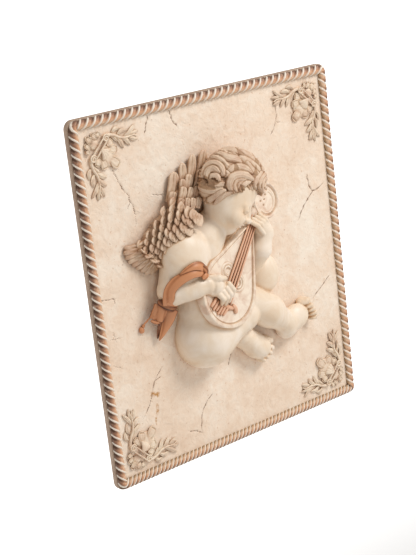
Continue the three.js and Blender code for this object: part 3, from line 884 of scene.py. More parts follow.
def feather(bm, root, tip, width, thick, bend=0.0, along=18, around=14, barbs=3, blunt=0.26, tilt=0.0):
    """A feather: rounded end, raised edges, a shaft down the middle and cuts along the vane."""
    root, tip = np.array(root, dtype=float), np.array(tip, dtype=float)
    middle = (root + tip) / 2
    ahead = tip - root
    middle[:2] += np.array([-ahead[1], ahead[0]]) / np.linalg.norm(ahead[:2]) * bend
    def half(t):
        return (
            width / 2 * (0.72 + 0.28 * min(t / 0.4, 1))
            * max(1 - (max(t - 1 + blunt, 0) / blunt) ** 2.2, 0) ** 0.5 * min(t / 0.02, 1)
        )
    def high(t):
        return thick * max(1 - (max(t - 0.86, 0) / 0.14) ** 2, 0) ** 0.5 * min(t / 0.02, 1)
    def vane(t, s):
        shaft = 0.7 * math.exp(-(s / 0.13) ** 2) - 0.5 * math.exp(-((abs(s) - 0.3) / 0.13) ** 2)
        return (
            (
                shaft + 0.34 * math.cos(s * math.pi * barbs + 2 * math.sin(t * 9))
                + 0.35 * math.exp(-((abs(s) - 0.85) / 0.12) ** 2)
            )
            * min(t / 0.1, 1) * min((1 - t) / 0.08, 1)
        )
    # Wash and painted shade in the grooves beside the shaft, between the barbs and along the edges.
    def wash_and_shade_lines(t, s):
        lines = (
            0.45 * math.exp(-((abs(s) - 0.3) / 0.13) ** 2)
            + 0.3 * max(-math.cos(s * math.pi * barbs + 2 * math.sin(t * 9)), 0)
        )
        return max(lines, 0.6 * min(max((abs(s) - 0.84) / 0.16, 0), 1) if t < 0.88 else 0.15)
    sweep(bm, [root, middle, tip], half, high, along, around, vane, tilt, paint=wash_and_shade_lines)


RAISED_FEATHERS = [
    # root, tip, width, thickness, bend: long quills at the back first, short ones in front
    ((-57.5, 77, 4.5), (-47.5, 103, 4.2), 9.8, 3.2, -1.5),
    ((-47, 82, 4.8), (-37.2, 109, 4.4), 7.4, 3.4, -2.2),
    ((-38, 84, 5.0), (-25, 114, 4.6), 7.8, 3.6, -2.0),
    ((-31, 84, 5.0), (-11.5, 115.5, 4.6), 8.8, 3.8, -3.2),
    ((-24, 84, 4.0), (-8, 106, 4.0), 7.0, 3.0, -1.5),
    ((-58, 74, 8.5), (-54, 87, 8.5), 8.2, 3.4, 0.6),
    ((-48, 79, 8.8), (-42.5, 96, 8.4), 6.6, 3.4, -1.2),
    ((-43, 82, 8.6), (-34.5, 98.5, 8.2), 7.6, 3.6, -1.6),
    ((-33.5, 80, 9.0), (-21, 100, 8.6), 7.8, 3.6, -2.0),
    ((-52, 76, 12.4), (-45, 90, 12.2), 6.6, 3.2, -0.8),
    ((-43, 75, 12.8), (-36.5, 87.5, 12.2), 5.6, 3.2, 0.5),
    ((-36.5, 75, 12.6), (-29.5, 87.0, 12.0), 6.4, 3.2, -0.5),
    ((-54.5, 73, 16.0), (-51, 81, 15.4), 6.6, 2.8, 0.3),
    ((-48.5, 72, 17.0), (-45, 80, 16.4), 5.6, 2.8, 0.2),
    ((-43.0, 70, 18.0), (-39.6, 79, 17.0), 5.6, 2.8, 0.2),
    ((-37.5, 69, 18.0), (-33.2, 78, 17.0), 5.4, 2.8, 0.0),
]


def make_raised_wing(material):
    bm = new_carving()
    blob(bm, (-42, 75, 5), (16, 14, 8), 20, 24, 14)
    for root, tip, width, thick, bend in RAISED_FEATHERS:
        feather(bm, root, tip, width * 1.2, thick * 0.62, bend, along=30, around=34, barbs=5)
    cut_behind_all(bm, -1.5)
    return finish_piece("raised_wing", bm, material)


WING_TOP = [(-56, 80, 13), (-66, 75, 12), (-77, 64, 10), (-83, 57, 8), (-90, 51, 6), (-99, 47, 4)]
WING_FOOT = [(-42, 66, 27), (-52, 57.5, 26), (-61, 53, 24), (-69.5, 47, 21), (-76, 34, 14), (-79, 26, 9)]
WING_FORMS = [
    ("limb", (-53, 64, 8), (-74, 53, 5), 12, 11),
    ("limb", (-74, 53, 5), (-88, 42, 0), 11, 8),
]


def on_wing(u, v, above=0.0):
    """A point of the lowered wing: u runs from the shoulder to the quills, v from the top to the arm."""
    top, foot = spline(WING_TOP, [u])[0], spline(WING_FOOT, [u])[0]
    spot = top + (foot - top) * v
    spot[2] += above + 4.5 * math.sin(math.pi * min(max(v, 0), 1)) * (1 - 0.55 * u)
    return spot


def make_lowered_wing(material):
    bm = new_carving()
    for form in WING_FORMS:
        rough_form(bm, form)
    quills = [
        ((-82, 52), (-110, 47.5), 3.0), ((-80, 50), (-111.5, 44), 3.0), ((-79, 48), (-110, 39.5), 3.0),
        ((-78, 46), (-107.5, 35), 3.0), ((-77, 44), (-104, 31), 3.0), ((-76, 42), (-100, 27), 3.0),
        ((-75, 41), (-95.5, 23.2), 3.2), ((-74, 40), (-91, 20), 3.2), ((-73.5, 40), (-86.5, 19.0), 3.4),
        ((-73, 40), (-82.5, 20.5), 4.2), ((-72, 41), (-79, 23), 6.5),
    ]
    for i, (root, tip, high) in enumerate(quills):
        feather(
            bm, (*root, 8.0 + i * 0.35), (*tip, high - 1.2), 5.2, 2.4, bend=1.6 - i * 0.3, along=26,
            around=14, barbs=4, blunt=0.1, tilt=8
        )
    for row in range(9, -1, -1):
        u = row / 9.2
        lanes = 4 if row % 2 else 5
        for lane in range(lanes):
            v = (lane + (0.5 if row % 2 else 0.0)) / 4.0
            here = on_wing(u, v, -1.6)
            there = on_wing(min(u + 0.155, 1.15), min(v + 0.03, 1.05), 1.9)
            push = there - here
            push *= (10.2 - row * 0.35) / max(np.linalg.norm(push), 1e-6)
            sway = math.sin(row * 5.1 + lane * 3.7)
            size = (11.8 - row * 0.3) * (1.0 + 0.08 * sway)
            push[:2] += np.array([-push[1], push[0]]) * 0.14 * math.sin(row * 2.3 + lane * 7.1)
            feather(
                bm, here, here + push * (1.06 + 0.12 * sway), size, 0.9, bend=0.6 * sway, along=16,
                around=28, barbs=4, blunt=0.3, tilt=9 - 15 * v
            )
    cut_behind_all(bm, -1.5)
    return finish_piece("lowered_wing", bm, material)


def cut_behind_all(bm, level):
    """Sinks what would reach behind the panel's ground to just under it."""
    for vert in bm.verts:
        if vert.co.z < level:
            vert.co.z = level - 0.02 * (level - vert.co.z)


# Lute

LUTE_PLACE = (
    Matrix.Translation((-21.7, -9.6, 30)) @ Matrix.Rotation(math.radians(-41.5), 4, "Z")
    @ Matrix.Rotation(math.radians(-10), 4, "X")
)
BOWL_RADIUS = 34.0
NECK_HALF = 5.0
SHOULDER = 62.0


def pear(angle):
    """Distance from the bowl's centre to the lute's outline in a direction, 0 at the head."""
    slope = math.atan2(NECK_HALF, SHOULDER) + math.acos(BOWL_RADIUS / math.hypot(NECK_HALF, SHOULDER))
    angle = abs((angle + math.pi) % (2 * math.pi) - math.pi)
    if angle >= slope:
        return BOWL_RADIUS
    neck_angle = math.atan2(NECK_HALF, SHOULDER)
    if angle <= neck_angle:
        return SHOULDER / math.cos(angle)
    return BOWL_RADIUS / math.cos(slope - angle)


def bell(value, centre, width):
    return np.exp(-((value - centre) / width) ** 2)


def board_relief(spot, inward):
    """Height and wash-and-shade mark of the sound board: a broad rim, a cut line, the board and two
    rosettes; the mark lays wash and painted shade in the cut line and inside the rosette rings.
    """
    rim = 3.7 * np.clip(1.1 - spot[:, 1] / 80, 0.35, 1)
    inner = 1 / (1 + np.exp((inward - rim) / 0.11))
    height = 1.3 * inner - 0.5 * bell(inward, rim + 0.5, 0.4) - 0.5 * bell(inward, 0, 0.45)
    height += 0.35 * bell(inward, rim + 1.7, 0.35) * (spot[:, 1] < 50)
    wash_and_shade = 0.62 * bell(inward, rim + 0.55, 0.55) + 0.34 * inner
    for side in (-1, 1):
        x, y = spot[:, 0] - (8.0 * side - 0.9), spot[:, 1] - (13.0 - 2.0 * side)
        far = np.hypot(x, y)
        facing = np.clip((x * side + 2.2) / 0.8, 0, 1)
        for ring in (7.0, 4.3):
            height = height + 1.0 * bell(far, ring, 0.75) * facing
            wash_and_shade = wash_and_shade + (0.9 * bell(far, ring - 1.35, 0.6) - 0.3 * bell(far, ring, 0.7)) * facing
        wash_and_shade = wash_and_shade + 0.6 * bell(far, 8.6, 0.6) * facing
        height = height - 0.8 * bell(far, 1.6, 1.3) * facing
    return height, wash_and_shade


def make_lute(material):
    bm = new_carving()
    made = bmesh.ops.create_grid(bm, x_segments=280, y_segments=96, size=1)
    verts = made["verts"]
    flat = spots(verts)
    angle = np.sign(flat[:, 0]) * np.abs(flat[:, 0]) ** 1.6 * math.pi
    share = (flat[:, 1] + 1) / 2
    reach = np.array([pear(a) for a in angle])
    rim = np.array([[math.sin(a), math.cos(a)] for a in np.linspace(-math.pi, math.pi, 1441)])
    rim = rim * np.array([pear(a) for a in np.linspace(-math.pi, math.pi, 1441)])[:, None]
    face = share > 0.14
    along = np.clip((share - 0.14) / 0.86, 0, 1)
    scale = np.where(face, 1 - along**1.35, 1.0)
    spot = np.column_stack([np.sin(angle), np.cos(angle)]) * (reach * scale)[:, None]
    inward = np.full(len(spot), 1e9)
    for corner in rim:
        inward = np.minimum(inward, ((spot - corner) ** 2).sum(1))
    inward = np.sqrt(inward)
    height, wash_and_shade = board_relief(spot, inward)
    under = np.clip((0.14 - share) / 0.14, 0, 1)
    back = np.where(under > 0, 1 - 0.55 * np.clip((under - 0.35) / 0.65, 0, 1) ** 2, 1.0)
    centre = np.array([0.0, 10.0])
    spot = np.where(face[:, None], spot, centre + (spot - centre) * back[:, None])
    places = np.column_stack([spot, np.where(face, height, 0.8 - 17.0 * under**0.8)])
    move_to(verts, places)
    carving = bm.verts.layers.float["cut"]
    for vert, value in zip(verts, np.where(face, np.clip(wash_and_shade, 0, 1), 0.1)):
        vert[carving] = value
    bmesh.ops.remove_doubles(bm, verts=verts, dist=1e-3)
    rim = [edge for edge in bm.edges if edge.is_boundary]
    bmesh.ops.holes_fill(bm, edges=rim, sides=0)
    sweep(
        bm, [(1, 52, -5), (1, 70, -5.5), (1, 90, -6)], lambda t: NECK_HALF + 0.3,
        lambda t: 6.0 * min(t / 0.03, 1) * min((1 - t) / 0.03, 1), 16, 20
    )
    bmesh.ops.transform(bm, matrix=LUTE_PLACE, verts=bm.verts)
    make_lute_head(bm)
    return finish_piece("lute", bm, material)


def make_lute_head(bm):
    """Round peg head with a rim, a crescent line and six peg holes."""
    made = bmesh.ops.create_grid(bm, x_segments=70, y_segments=70, size=1)
    verts = made["verts"]
    flat = spots(verts)
    x, y = flat[:, 0], flat[:, 1]
    disc = np.stack([x * np.sqrt(1 - y**2 / 2), y * np.sqrt(1 - x**2 / 2)], 1)
    radius = np.hypot(*disc.T)
    spot = disc * 17.0 + np.array([8.6, 97.2])
    rise = np.where(radius > 0.97, -0.5, 0.6) - 2.0 / (1 + np.exp((radius - 0.85) * 70))
    # Wash and painted shade in the groove inside the rim, beside the crescent line and in the peg holes.
    wash_and_shade = 0.8 * bell(radius, 0.815, 0.025)
    line = np.hypot(spot[:, 0] - 9.8, spot[:, 1] - 96.4)
    right = np.clip((spot[:, 0] - 7) / 1.5, 0, 1)
    rise += 0.9 * bell(line, 10.4, 0.75) * right
    wash_and_shade += 0.7 * (bell(line, 11.6, 0.4) + bell(line, 9.3, 0.4)) * right
    for px, py in ((3.5, 93.5), (8.8, 92.2), (2.3, 98.6), (7.2, 97.4), (6.6, 102.0), (5.8, 107.0)):
        near = (spot[:, 0] - px) ** 2 + (spot[:, 1] - py) ** 2
        rise -= 1.6 * np.exp(-near / 0.9**2)
        wash_and_shade += np.exp(-near / 1.0**2)
    move_to(verts, np.stack([spot[:, 0], spot[:, 1], rise], 1))
    carving = bm.verts.layers.float["cut"]
    for vert, value in zip(verts, np.clip(wash_and_shade, 0, 1)):
        vert[carving] = value
    faces = {face for vert in verts for face in vert.link_faces}
    rim = list({edge for face in faces for edge in face.edges if edge.is_boundary})
    grown = bmesh.ops.extrude_edge_only(bm, edges=rim)
    low = [v for v in grown["geom"] if isinstance(v, bmesh.types.BMVert)]
    bmesh.ops.translate(bm, vec=(0, 0, -14), verts=low)
    edges = [e for e in grown["geom"] if isinstance(e, bmesh.types.BMEdge) and e.is_boundary]
    bmesh.ops.holes_fill(bm, edges=edges, sides=0)
    bmesh.ops.transform(bm, matrix=LUTE_PLACE, verts=verts + low)


def make_strings(material):
    bm = new_carving()
    for i in range(4):
        side = i / 3 - 0.5
        route = [(side * 11, -18, 0.9), (side * 9.4, 25, 1.8), (side * 7.5, 76, 1.5)]
        sweep(bm, route, round_ends(1.05, 0.2), round_ends(1.15, 0.2), 20, 8)
    sweep(
        bm, [(-13, -14.5, 0.4), (-2, -15.6, 1.1), (12.5, -12.2, 0.6)], round_ends(2.2, 0.3),
        round_ends(1.9, 0.3), 18, 10
    )
    for i in range(6):
        x = -13.6 + i * 3.3
        drop = (8.4, 9.8, 9.0, 10.8, 9.8, 8.6)[i]
        route = [(x + 1.0, -12.5, 0.9), (x - 0.2, -18, 1.3), (x - 1.4, -15.5 - drop, 0.7)]
        sweep(bm, route, round_ends(1.55, 0.16), round_ends(1.6, 0.2), 14, 10)
    sweep(
        bm, [(8, -10.5, 1.0), (12.5, -12, 1.3), (16.0, -15.2, 0.8)], round_ends(2.3, 0.2),
        round_ends(1.8, 0.25), 14, 10
    )
    bmesh.ops.transform(bm, matrix=LUTE_PLACE, verts=bm.verts)
    return finish_piece("strings_and_bridge", bm, material)


# Ribbon

def band(bm, route, width, thick=0.9, tilt=0.0, twist=0.0, folds=1, deep=0.4, along=34, dark=0.0):
    def crease(t, s):
        return deep * math.cos(s * math.pi * folds + t * 3)
    # Wash and painted shade in the fold troughs and along the band's edges; dark adds painted shade over a
    # band that lies under others.
    def folded(t, s):
        return min(
            dark + 0.5 * max(-math.cos(s * math.pi * folds + t * 3), 0) ** 2
            + 0.7 * max((abs(s) - 0.88) / 0.12, 0),
            1
        )
    sweep(bm, route, width, round_ends(thick, 0.15), along, 24, crease, tilt, twist, paint=folded)


def ends(width, start=0.04, stop=0.04, power=0.5):
    """A half width that closes over the first and last shares of a band."""
    return lambda t: width * min(t / start, (1 - t) / stop, 1) ** power


def make_ribbon(material):
    bm = new_carving()
    lean = [-4, -6, -14, -28, -40, -44, -40, -30]
    main = [
        (-51, 14.0, 34.5), (-58, 17.2, 36.4), (-66, 18.2, 35.6), (-73, 16.2, 32.2), (-79, 12.5, 28.2),
        (-83.5, 6.8, 25.0), (-85.2, -0.5, 23.4), (-83, -8.5, 19.0)
    ]
    band(
        bm, main, lambda t: (3.2 + 2.0 * min(t / 0.55, 1)) * min(t / 0.03, (1 - t) / 0.03, 1) ** 0.5,
        thick=1.0, tilt=lambda t: float(np.interp(t * 7, range(8), lean)), folds=1, deep=0.3, along=40
    )
    flap = [(-51, 17, 34.6), (-54.5, 22, 36.0), (-61, 24.2, 36.0), (-68, 23.2, 34.2), (-75, 19.5, 30.2)]
    band(
        bm, flap,
        lambda t: (
            4.2 * min(t / 0.05, 1) ** 0.5 * (1 - max(t - 0.35, 0) / 0.65) ** 0.6 * min((1 - t) / 0.03, 1)
        ),
        tilt=-16, deep=0.25, dark=0.12
    )
    band(
        bm, [(-50.5, 13, 35), (-50.8, 18, 36.6), (-53, 22, 36.4)], ends(2.4, 0.1, 0.1), tilt=20, along=16,
        dark=0.35
    )
    band(
        bm, [(-56, 11.5, 36.4), (-52, 13.0, 37.0), (-48.5, 14.5, 35.6)], ends(2.6, 0.2, 0.2), tilt=10,
        along=16
    )
    # the twist, then the two halves of the tail with the fold between them
    # the twist lies under the band laid over it; its dark paints that shade
    band(
        bm, [(-90, -2.5, 13.5), (-84.5, -8.5, 16.5), (-77.5, -13.5, 16.0), (-70.5, -16.0, 12.5)],
        ends(3.4, 0.12, 0.12), thick=1.6, tilt=-34, along=24, dark=0.62
    )
    band(
        bm, [(-85, -3.5, 21.0), (-79.5, -8.0, 20.0), (-73.5, -13.0, 15.5)],
        lambda t: 4.6 * (1 - 0.4 * t) * min(t / 0.05, (1 - t) / 0.05, 1) ** 0.5, thick=1.2, tilt=-30,
        along=22
    )
    band(
        bm, [(-85.5, -7.5, 13.0), (-88.0, -14.5, 11.0), (-91.0, -21.5, 8.2)], ends(6.9, 0.05, 0.03, 0.4),
        thick=1.0, tilt=-26, deep=0.5, folds=2, along=26
    )
    band(
        bm, [(-76.0, -14.0, 13.0), (-78.5, -24.0, 10.0), (-83.0, -33.0, 7.4), (-88.0, -42.0, 5.2)],
        lambda t: 7.4 * min(t / 0.05, 1) ** 0.5 * (1 - t) ** 0.66, thick=1.0, tilt=-20, deep=0.3, along=30
    )
    # the tail's under strip, given painted shade through dark
    band(
        bm, [(-83.5, -10.0, 9.0), (-84.5, -22.0, 7.0), (-87.5, -33.0, 5.0), (-88.5, -40.0, 3.8)],
        lambda t: 3.8 * min(t / 0.05, 1) ** 0.5 * (1 - t) ** 0.5, thick=1.0, tilt=20, dark=0.6
    )
    band(
        bm, [(-96.0, -20.5, 7.4), (-91.0, -23.5, 8.8), (-85.5, -24.0, 8.0)], ends(1.5, 0.15, 0.15),
        thick=1.1, tilt=0, along=16
    )
    sweep(
        bm, [(-94, -17, 6.5), (-97.1, -20.8, 4.0), (-100.5, -24.2, 2.2), (-102, -27, 1.4)],
        round_ends(0.8, 0.2), round_ends(0.8, 0.2), 18, 8
    )
    blob(bm, (-93.6, -16.2, 7.4), (1.8, 1.4, 1.3), 30, 12, 8)
    blob(bm, (-102.6, -28.5, 1.4), (2.6, 3.2, 2.0), 20, 14, 8)
    blob(bm, (-100.4, -25.2, 1.6), (1.7, 1.7, 1.4), 0, 12, 8)
    return finish_piece("ribbon", bm, material)


# Corners

def corner_leaf(bm, put, base, bend, tip, width, rise, vein=0.55):
    width, rise = width * 0.84, rise * 0.74
    route = [(*put(base), 0.4), (*put(bend), 1.1), (*put(tip), 0.5)]
    def cut(t, s):
        return (
            (vein * math.exp(-(s / 0.18) ** 2) - 0.5 * math.exp(-((abs(s) - 0.42) / 0.2) ** 2))
            * min(t / 0.1, (1 - t) / 0.1, 1)
        )
    # Wash and painted shade in the grooves beside the vein and along the edges.
    def wash_and_shade_lines(t, s):
        return max(
            0.65 * math.exp(-((abs(s) - 0.4) / 0.18) ** 2), 0.55 * min(max((abs(s) - 0.85) / 0.15, 0), 1)
        )
    sweep(bm, route, leaf_shape(width / 2, 0.6), leaf_shape(rise, 0.5, 0.5), 18, 20, cut, paint=wash_and_shade_lines)


def shell_lobe(bm, put, base, tip, width, rise):
    """A scallop of the fan: raised edge, a second line inside it and a fluted hollow."""
    base, tip = np.array(base, dtype=float), np.array(tip, dtype=float)
    rise *= 0.7
    route = [(*put(base), 1.0), (*put((base + tip) / 2), 1.8), (*put(tip), 0.6)]
    def half(t):
        return (
            width / 2 * (0.4 + 0.6 * math.sin(min(t / 0.62, 1) * math.pi / 2))
            * max(1 - (max(t - 0.62, 0) / 0.38) ** 2, 0) ** 0.5 * min(t / 0.03, 1)
        )
    def cup(t, s):
        edge = max(abs(s), (t - 0.55) / 0.45)
        line = (
            0.75 * math.exp(-((edge - 0.86) / 0.13) ** 2) + 0.5 * math.exp(-((edge - 0.45) / 0.12) ** 2)
            - 0.9 * math.exp(-((edge - 0.66) / 0.1) ** 2)
        )
        return (line - 0.8 * (1 - min(edge, 1) ** 2)) * min(t / 0.15, 1)
    # Wash and painted shade in the groove inside the raised edge, in the hollow's middle and at the very
    # edge.
    def wash_and_shade_lines(t, s):
        edge = max(abs(s), (t - 0.55) / 0.45)
        return min(
            0.8 * math.exp(-((edge - 0.65) / 0.1) ** 2) + 0.45 * max(0.35 - edge, 0) / 0.35
            + 0.5 * min(max((edge - 0.96) / 0.04, 0), 1),
            1
        )
    sweep(
        bm, route, half, lambda t: rise * min(t / 0.05, 1) * max(1 - t**6, 0) ** 0.5, 24, 32, cup,
        paint=wash_and_shade_lines
    )


def volute(bm, place, radius, wire):
    """A rolled scroll end: a bar that winds in on itself around a small boss."""
    x, y, z = place
    turns = np.linspace(0, 1.6 * 2 * math.pi, 22)
    route = []
    for i, a in enumerate(turns):
        reach = radius - 0.75 * radius * i / 21
        route.append((x + reach * math.cos(a), y + reach * math.sin(a), z + 0.5 * i / 21))
    sweep(bm, route, round_ends(wire, 0.2), round_ends(wire * 1.1, 0.2), 46, 10)
    blob(bm, (x, y, z - 0.8), (radius * 0.8, radius * 0.8, 1.2), 0, 14, 8)


def corner_half(bm, put):
    """One side of a corner ornament: scroll end, small outer scallops, fan lobes and the leaf spray."""
    stem = [(34, 20), (39, 18.7), (45.3, 20), (51.1, 23.2), (58.5, 24.3), (66, 23.8), (70, 25.5)]
    sweep(
        bm, [(*put(p), 1.1) for p in stem],
        lambda t: (1.7 - 1.0 * t) * min(t / 0.02, 1) * min((1 - t) / 0.02, 1) ** 0.5,
        lambda t: (1.9 - 1.0 * t) * min(t / 0.02, 1) * min((1 - t) / 0.02, 1) ** 0.5, 40, 10
    )
    leaves = [
        ((43, 19.3), (47, 15.0), (53.0, 15.3), 4.6, 1.5),
        ((48, 21.5), (53.5, 17.8), (60.0, 18.4), 4.6, 1.5),
        ((55, 24), (62, 20.5), (69.0, 14.8), 4.8, 1.5),
        ((60, 24.4), (65, 22.2), (72.5, 21.5), 3.8, 1.3),
        ((59, 24.4), (64.5, 26.5), (70.5, 28.5), 4.6, 1.4),
        ((52, 23.6), (57.5, 26.5), (61.5, 32.2), 5.2, 1.6),
        ((46, 20.8), (50.5, 25.5), (54.5, 33.2), 5.4, 1.6),
        ((41, 19.5), (45.5, 22.5), (49.5, 27.0), 4.0, 1.4),
    ]
    for base, bend, tip, width, rise in leaves:
        corner_leaf(bm, put, base, bend, tip, width, rise)
    x, y = put((36.0, 20.6))
    volute(bm, (x, y, 2.8), 3.4, 0.85)
    lobes = [
        (((31, 18.5), (27.5, 14.6)), 5.2),
        (((27.5, 19.5), (22.2, 15.0)), 5.4),
        (((24.5, 21.5), (17.8, 18.2)), 5.4),
    ]
    for (base, tip), width in lobes:
        shell_lobe(bm, put, base, tip, width, 1.1)
    for tip, width in (((43.5, 24.5), 7.6), ((47.5, 33.0), 8.4)):
        shell_lobe(bm, put, (36 + (tip[0] - 40) * 0.2, 29 + (tip[1] - 29) * 0.35), tip, width, 1.7)


def make_corners(material):
    bm = new_carving()
    for sign_x, sign_y in ((1, 1), (-1, 1), (-1, -1), (1, -1)):
        def put(place, sx=sign_x, sy=sign_y):
            return sx * (WIDTH / 2 - place[0]), sy * (HEIGHT / 2 - place[1])
        corner_half(bm, put)
        corner_half(bm, lambda place: put((place[1], place[0])))
        shell_lobe(bm, put, (38, 38), (47.5, 47.5), 9.6, 2.0)
        shell_lobe(bm, put, (23, 23), (16.4, 16.4), 5.4, 1.1)
        x, y = put((36.5, 36.5))
        blob(bm, (x, y, 0.5), (9.5, 9.5, 2.0), 0, 24, 10)
        # four short ribs that spread out over the middle of the fan
        for turn in (-26, -9, 9, 26):
            heading = math.radians(45 + turn)
            end = (29 + 10.5 * math.cos(heading), 29 + 10.5 * math.sin(heading))
            sweep(
                bm,
                [
                    (*put((29, 29)), 3.2), (*put(((29 + end[0]) / 2, (29 + end[1]) / 2)), 3.6),
                    (*put(end), 1.6)
                ],
                lambda t: (0.5 + 2.0 * t) * min(t / 0.04, (1 - t) / 0.06, 1) ** 0.5,
                lambda t: 1.3 * min(t / 0.04, (1 - t) / 0.1, 1) ** 0.5, 14, 12
            )
        for shift, rise in ((-1.5, 3.0), (1.5, 3.4)):
            line = [(35 + shift, 21.5 + shift), (28.2 + shift, 28.2 + shift), (21.5 + shift, 35 + shift)]
            sweep(bm, [(*put(p), rise) for p in line], round_ends(0.8, 0.2), round_ends(1.0, 0.2), 18, 8)
        x, y = put((24.5, 24.5))
        blob(bm, (x, y, 0.6), (4.6, 4.6, 1.5), 0, 16, 8)
    return finish_piece("corner_ornaments", bm, material)


# Rope border

def rope_line(distance):
    """Points and outward directions along the rope's centre line, counter-clockwise."""
    bend = CORNER_RADIUS - ROPE_INSET
    half_w = WIDTH / 2 - ROPE_INSET - bend
    half_h = HEIGHT / 2 - ROPE_INSET - bend
    arc = bend * math.pi / 2
    runs = np.array([half_h, arc, 2 * half_w, arc, 2 * half_h, arc, 2 * half_w, arc, half_h])
    ends = np.cumsum(runs)
    rest = np.mod(distance, ends[-1])
    index = np.minimum(np.searchsorted(ends, rest), 8)
    rest = rest - (ends[index] - runs[index])
    curved = index % 2 == 1
    quarter = np.where(curved, (index - 1) // 2, (index + 1) // 2 % 4)
    heading = quarter * math.pi / 2 + np.where(curved, rest / bend, 0)
    outward = np.stack([np.cos(heading), np.sin(heading)], 1)
    forward = np.stack([-outward[:, 1], outward[:, 0]], 1)
    corner = np.array([(half_w, half_h), (-half_w, half_h), (-half_w, -half_h), (half_w, -half_h)])
    half = np.where(quarter % 2 == 0, half_h, half_w)
    reach = np.where(quarter % 2 == 0, half_w + bend, half_h + bend)
    start = np.where(index == 0, 0, -half)
    straight = outward * reach[:, None] + forward * (start + rest)[:, None]
    round_part = corner[quarter] + outward * bend
    return np.where(curved[:, None], round_part, straight), outward


def rope_length():
    bend = CORNER_RADIUS - ROPE_INSET
    return 4 * (WIDTH / 2 + HEIGHT / 2 - 2 * ROPE_INSET - 2 * bend) + 2 * math.pi * bend


def make_rope(material):
    total = rope_length()
    # the strands lie closer together along the lower side
    lower = WIDTH - 2 * CORNER_RADIUS
    after = HEIGHT / 2 - CORNER_RADIUS + (CORNER_RADIUS - ROPE_INSET) * math.pi / 2
    stops = [0, total - after - lower, total - after, total]
    counts = [round((stops[1]) / ROPE_PITCH), round(lower / FINE_PITCH), round(after / ROPE_PITCH)]
    lobes = sum(counts)
    steps = 12
    bm = bmesh.new()
    bmesh.ops.create_grid(bm, x_segments=lobes * steps, y_segments=16, size=1)
    flat = spots(bm.verts)
    laid = (flat[:, 0] + 1) / 2 * lobes
    distance = np.interp(laid, np.cumsum([0] + counts), stops)
    turn = (flat[:, 1] + 1) * math.pi
    fold = np.where(turn > math.pi, 2 * math.pi - turn, turn)
    phase = np.mod(laid, 1.0)
    number = np.floor(laid)
    jitter = 0.5 + 0.5 * np.sin(number * 2.7) * np.sin(number * 1.31 + 0.4)
    off = np.abs(phase - 0.5) * 2
    lobe = np.clip((phase - 0.14) / 0.78, 0, 1)
    strand = (np.clip(4 * lobe * (1 - lobe), 0, 1) ** 0.6) * (0.55 + 0.45 * lobe)
    ridge = np.exp(-((1 - off) / (0.27 + 0.08 * jitter)) ** 2)
    scoop = np.exp(-((phase - 0.27) / 0.1) ** 2)
    radius = ROPE_RADIUS - 1.5 + 1.35 * np.maximum(strand * (0.85 + 0.15 * jitter), ridge) - 0.5 * scoop
    # the flat underside; the last row lies on the first one and closes the tube
    radius = np.where((turn > math.pi) & (flat[:, 1] < 0.999), ROPE_RADIUS - 1.3, radius)
    point, outward = rope_line(distance + ROPE_SLANT * (fold / math.pi - 0.5))
    out = radius * np.cos(turn)
    places = np.column_stack([point + outward * out[:, None], radius * np.sin(turn)])
    move_to(bm.verts, places)
    # Marks for the finish: crest (worn paint and painted highlight on each ridge), flank (where round the
    # rope a point lies) and cut (wash and painted shade in the recess after each ridge, heavier towards the
    # outer side).
    marks = bm.verts.layers.float.new("crest_wear_and_highlight")
    flank = bm.verts.layers.float.new("flank")
    carving = bm.verts.layers.float.new("cut")
    outer = np.clip(1.2 - fold / math.pi * 1.5, 0.12, 1)
    cut = np.clip(1.15 * np.exp(-((phase - 0.34) / 0.17) ** 2) * outer, 0, 1)
    for vert, c, f, dark in zip(bm.verts, ridge, fold / math.pi, cut):
        vert[marks] = c
        vert[flank] = f
        vert[carving] = dark
    bmesh.ops.remove_doubles(bm, verts=bm.verts, dist=1e-3)
    return finish_piece("rope_border", bm, material)


# Panel

# Cracks as routes over the panel, each with how deep and dark it is
CRACKS = [
    ([(-66, 156), (-70, 144), (-73, 139)], 0.8),
    ([(-42, 156), (-40, 148), (-33, 138)], 0.8),
    ([(-109, 117), (-104, 103), (-95, 87), (-92, 77), (-94, 60)], 1.0),
    ([(-95, 87), (-100, 80)], 0.5),
    ([(84, 140), (81, 122), (69, 107)], 0.7),
    ([(81, 122), (86, 121)], 0.5),
    ([(114, 65), (120, 48), (129, 50), (137, 54)], 1.0),
    ([(120, 48), (107, 37), (96, 22)], 1.0),
    ([(131, -40), (119, -48), (104, -58)], 0.9),
    ([(-85, -69), (-95, -80), (-103, -98), (-117, -113)], 0.9),
    ([(-95, -79), (-87, -77)], 0.6),
    ([(-32, -112), (-40, -118), (-49, -140), (-47, -149)], 0.9),
    ([(-49, -144), (-58, -140), (-66, -138)], 0.7),
    ([(-1, -74), (-10, -94)], 0.7),
    ([(-141, 9), (-122, 6)], 0.7),
    ([(-128, 8), (-124, 2)], 0.5),
    ([(-136, -28), (-124, -30)], 0.4),
    ([(-132, -22), (-129, -34)], 0.35),
    ([(-136, -52), (-126, -58)], 0.35),
    ([(-60, 84), (-72, 88)], 0.5),
]
# Ochre stains: place and half widths
STAINS = [((-99, -90), 5, 4), ((-94, -92), 6, 3.5), ((-96, -106), 3, 8), ((-99, -116), 2.2, 6)]
# Small casting pits
PITS = [
    (-84, 14), (-8, 118), (56, -102), (92, -74), (66, 30), (-20, 133), (-108, -74), (-62, 124), (102, 90),
    (-112, 34), (20, -118), (-30, 140)
]


def crack_line(route, seed):
    line = spline([(x, y, 0) for x, y in route], np.linspace(0, 1, 40))
    length = np.linalg.norm(np.diff(line, axis=0), axis=1).sum()
    for j, spot in enumerate(line):
        along = j / 39 * length
        sway = (
            1.5 * noise.noise((along / 5.5, seed * 7.3, 0.0))
            + 0.8 * noise.noise((along / 2.0, seed * 3.1, 5.0))
        )
        spot[:2] += np.array([sway, sway * 0.4])
    return line


